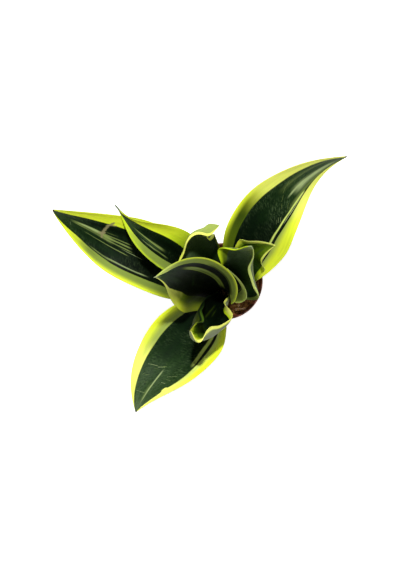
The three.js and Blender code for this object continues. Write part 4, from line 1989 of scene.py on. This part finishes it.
@dataclass(frozen=True)
class Rhizome:
    """Thick underground stem, kept as the CAD solid, with scaly fleshy skin."""

    node: str = "rhizome"

    def dress(self) -> None:
        """Give the CAD solid its skin."""
        paint = Paint("rhizome_skin")
        place = paint.place()
        rings = paint.grain(place, (60, 60, 500), 3, 0.3)
        blotch = paint.cloud(place, 160, 3)
        colour = paint.blend(blotch.rise(0.35, 0.65), FleshTone.PALE, FleshTone.OCHRE)
        colour = paint.blend(rings.rise(0.52, 0.62) * 0.7, colour, FleshTone.SCALE)
        normal = paint.bumps(rings, 0.0008)
        material = paint.finish({"Base Color": colour, "Roughness": 0.6 + blotch * 0.2, "Normal": normal})
        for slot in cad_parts[self.node].material_slots:
            slot.material = material


# Studio


@dataclass(frozen=True)
class Lamp:
    """A square soft light that looks at the plant, in metres and watts."""

    name: str
    place: Triple
    size: float
    power: float


@dataclass(frozen=True)
class Studio:
    """Pale floor, soft light from above, and the camera over the plant, in metres.

    focal_pixels: distance of the picture plane, in pixels of a picture frame_pixels high.
    sky: strength of the air's light. sensor is in millimetres.
    """

    camera_place: Triple = (-0.02826, -0.00444, 1.080)
    sensor: float = 36.0
    focal_pixels: float = 863.0
    frame_pixels: float = 570.0
    target: Triple = (-0.02, 0.0, 0.12)
    floor_glow: float = 0.86
    floor_radius: float = 4.0
    floor_sides: int = 64
    nearest: float = 0.01
    sky: float = 0.08
    lamps: tuple[Lamp, ...] = (
        Lamp("key", (-0.05, 0.52, 1.36), 0.06, 18.5),
        Lamp("sky_panel", (-0.25, -0.35, 1.5), 0.9, 4.0),
    )

    def set_camera(self) -> None:
        """Hang the camera over the plant, looking straight down."""
        bpy.ops.object.camera_add(location=self.camera_place, rotation=(0, 0, 0))
        camera = bpy.context.active_object
        camera.name = "camera"
        camera.data.sensor_fit = "AUTO"
        camera.data.sensor_width = self.sensor
        camera.data.lens = self.focal_pixels / self.frame_pixels * self.sensor
        camera.data.clip_start = self.nearest
        bpy.context.scene.camera = camera

    def set_light(self) -> None:
        """Hang the lamps and make the surroundings a soft white."""
        for lamp in self.lamps:
            bpy.ops.object.light_add(type="AREA", location=lamp.place)
            light = bpy.context.active_object
            light.name = lamp.name
            light.data.shape = "SQUARE"
            light.data.size = lamp.size
            light.data.energy = lamp.power
            way = Vector(self.target) - Vector(lamp.place)
            light.rotation_euler = way.to_track_quat("-Z", "Y").to_euler()
        world = bpy.data.worlds.new("studio_air")
        world.use_nodes = True
        air = world.node_tree.nodes["Background"].inputs
        air["Color"].default_value = (1, 1, 1, 1)
        air["Strength"].default_value = self.sky
        bpy.context.scene.world = world
        bpy.context.scene.view_settings.view_transform = "Standard"

    def lay_floor(self) -> None:
        """Lay the white floor, which glows a little so that shadows on it stay faint."""
        floor = primitive(
            bpy.ops.mesh.primitive_circle_add, "floor",
            vertices=self.floor_sides, radius=self.floor_radius, fill_type="NGON",
        )
        paint = Paint("floor_skin")
        weave = paint.cloud(paint.place(), 3, 2)
        colour = paint.blend(weave, linear(246, 246, 246), linear(250, 250, 250))
        wear(floor, paint.finish({
            "Base Color": colour, "Roughness": 0.9, "Specular IOR Level": 0.0,
            "Emission Color": (1, 1, 1, 1), "Emission Strength": self.floor_glow,
        }))

    def build(self) -> None:
        """Set the camera, the lamps and the floor."""
        self.set_camera()
        self.set_light()
        self.lay_floor()


# All together


def main() -> None:
    """Build the pot, the soil, the stem, the leaves and the studio, in that order."""
    logging.basicConfig(level=logging.INFO, format="%(name)s %(message)s")
    pot = Pot()
    pot.dress(pot.build())
    Soil().build()
    Rhizome().dress()
    for k, (name, shape) in enumerate(SHAPES.items()):
        leaf = Leaf(name, shape, MARKINGS[name], seed=1.7 * k + 0.3)
        leaf.dress(leaf.build())
    Studio().build()
    bpy.ops.object.select_all(action="DESELECT")


if __name__ == "__main__":
    main()
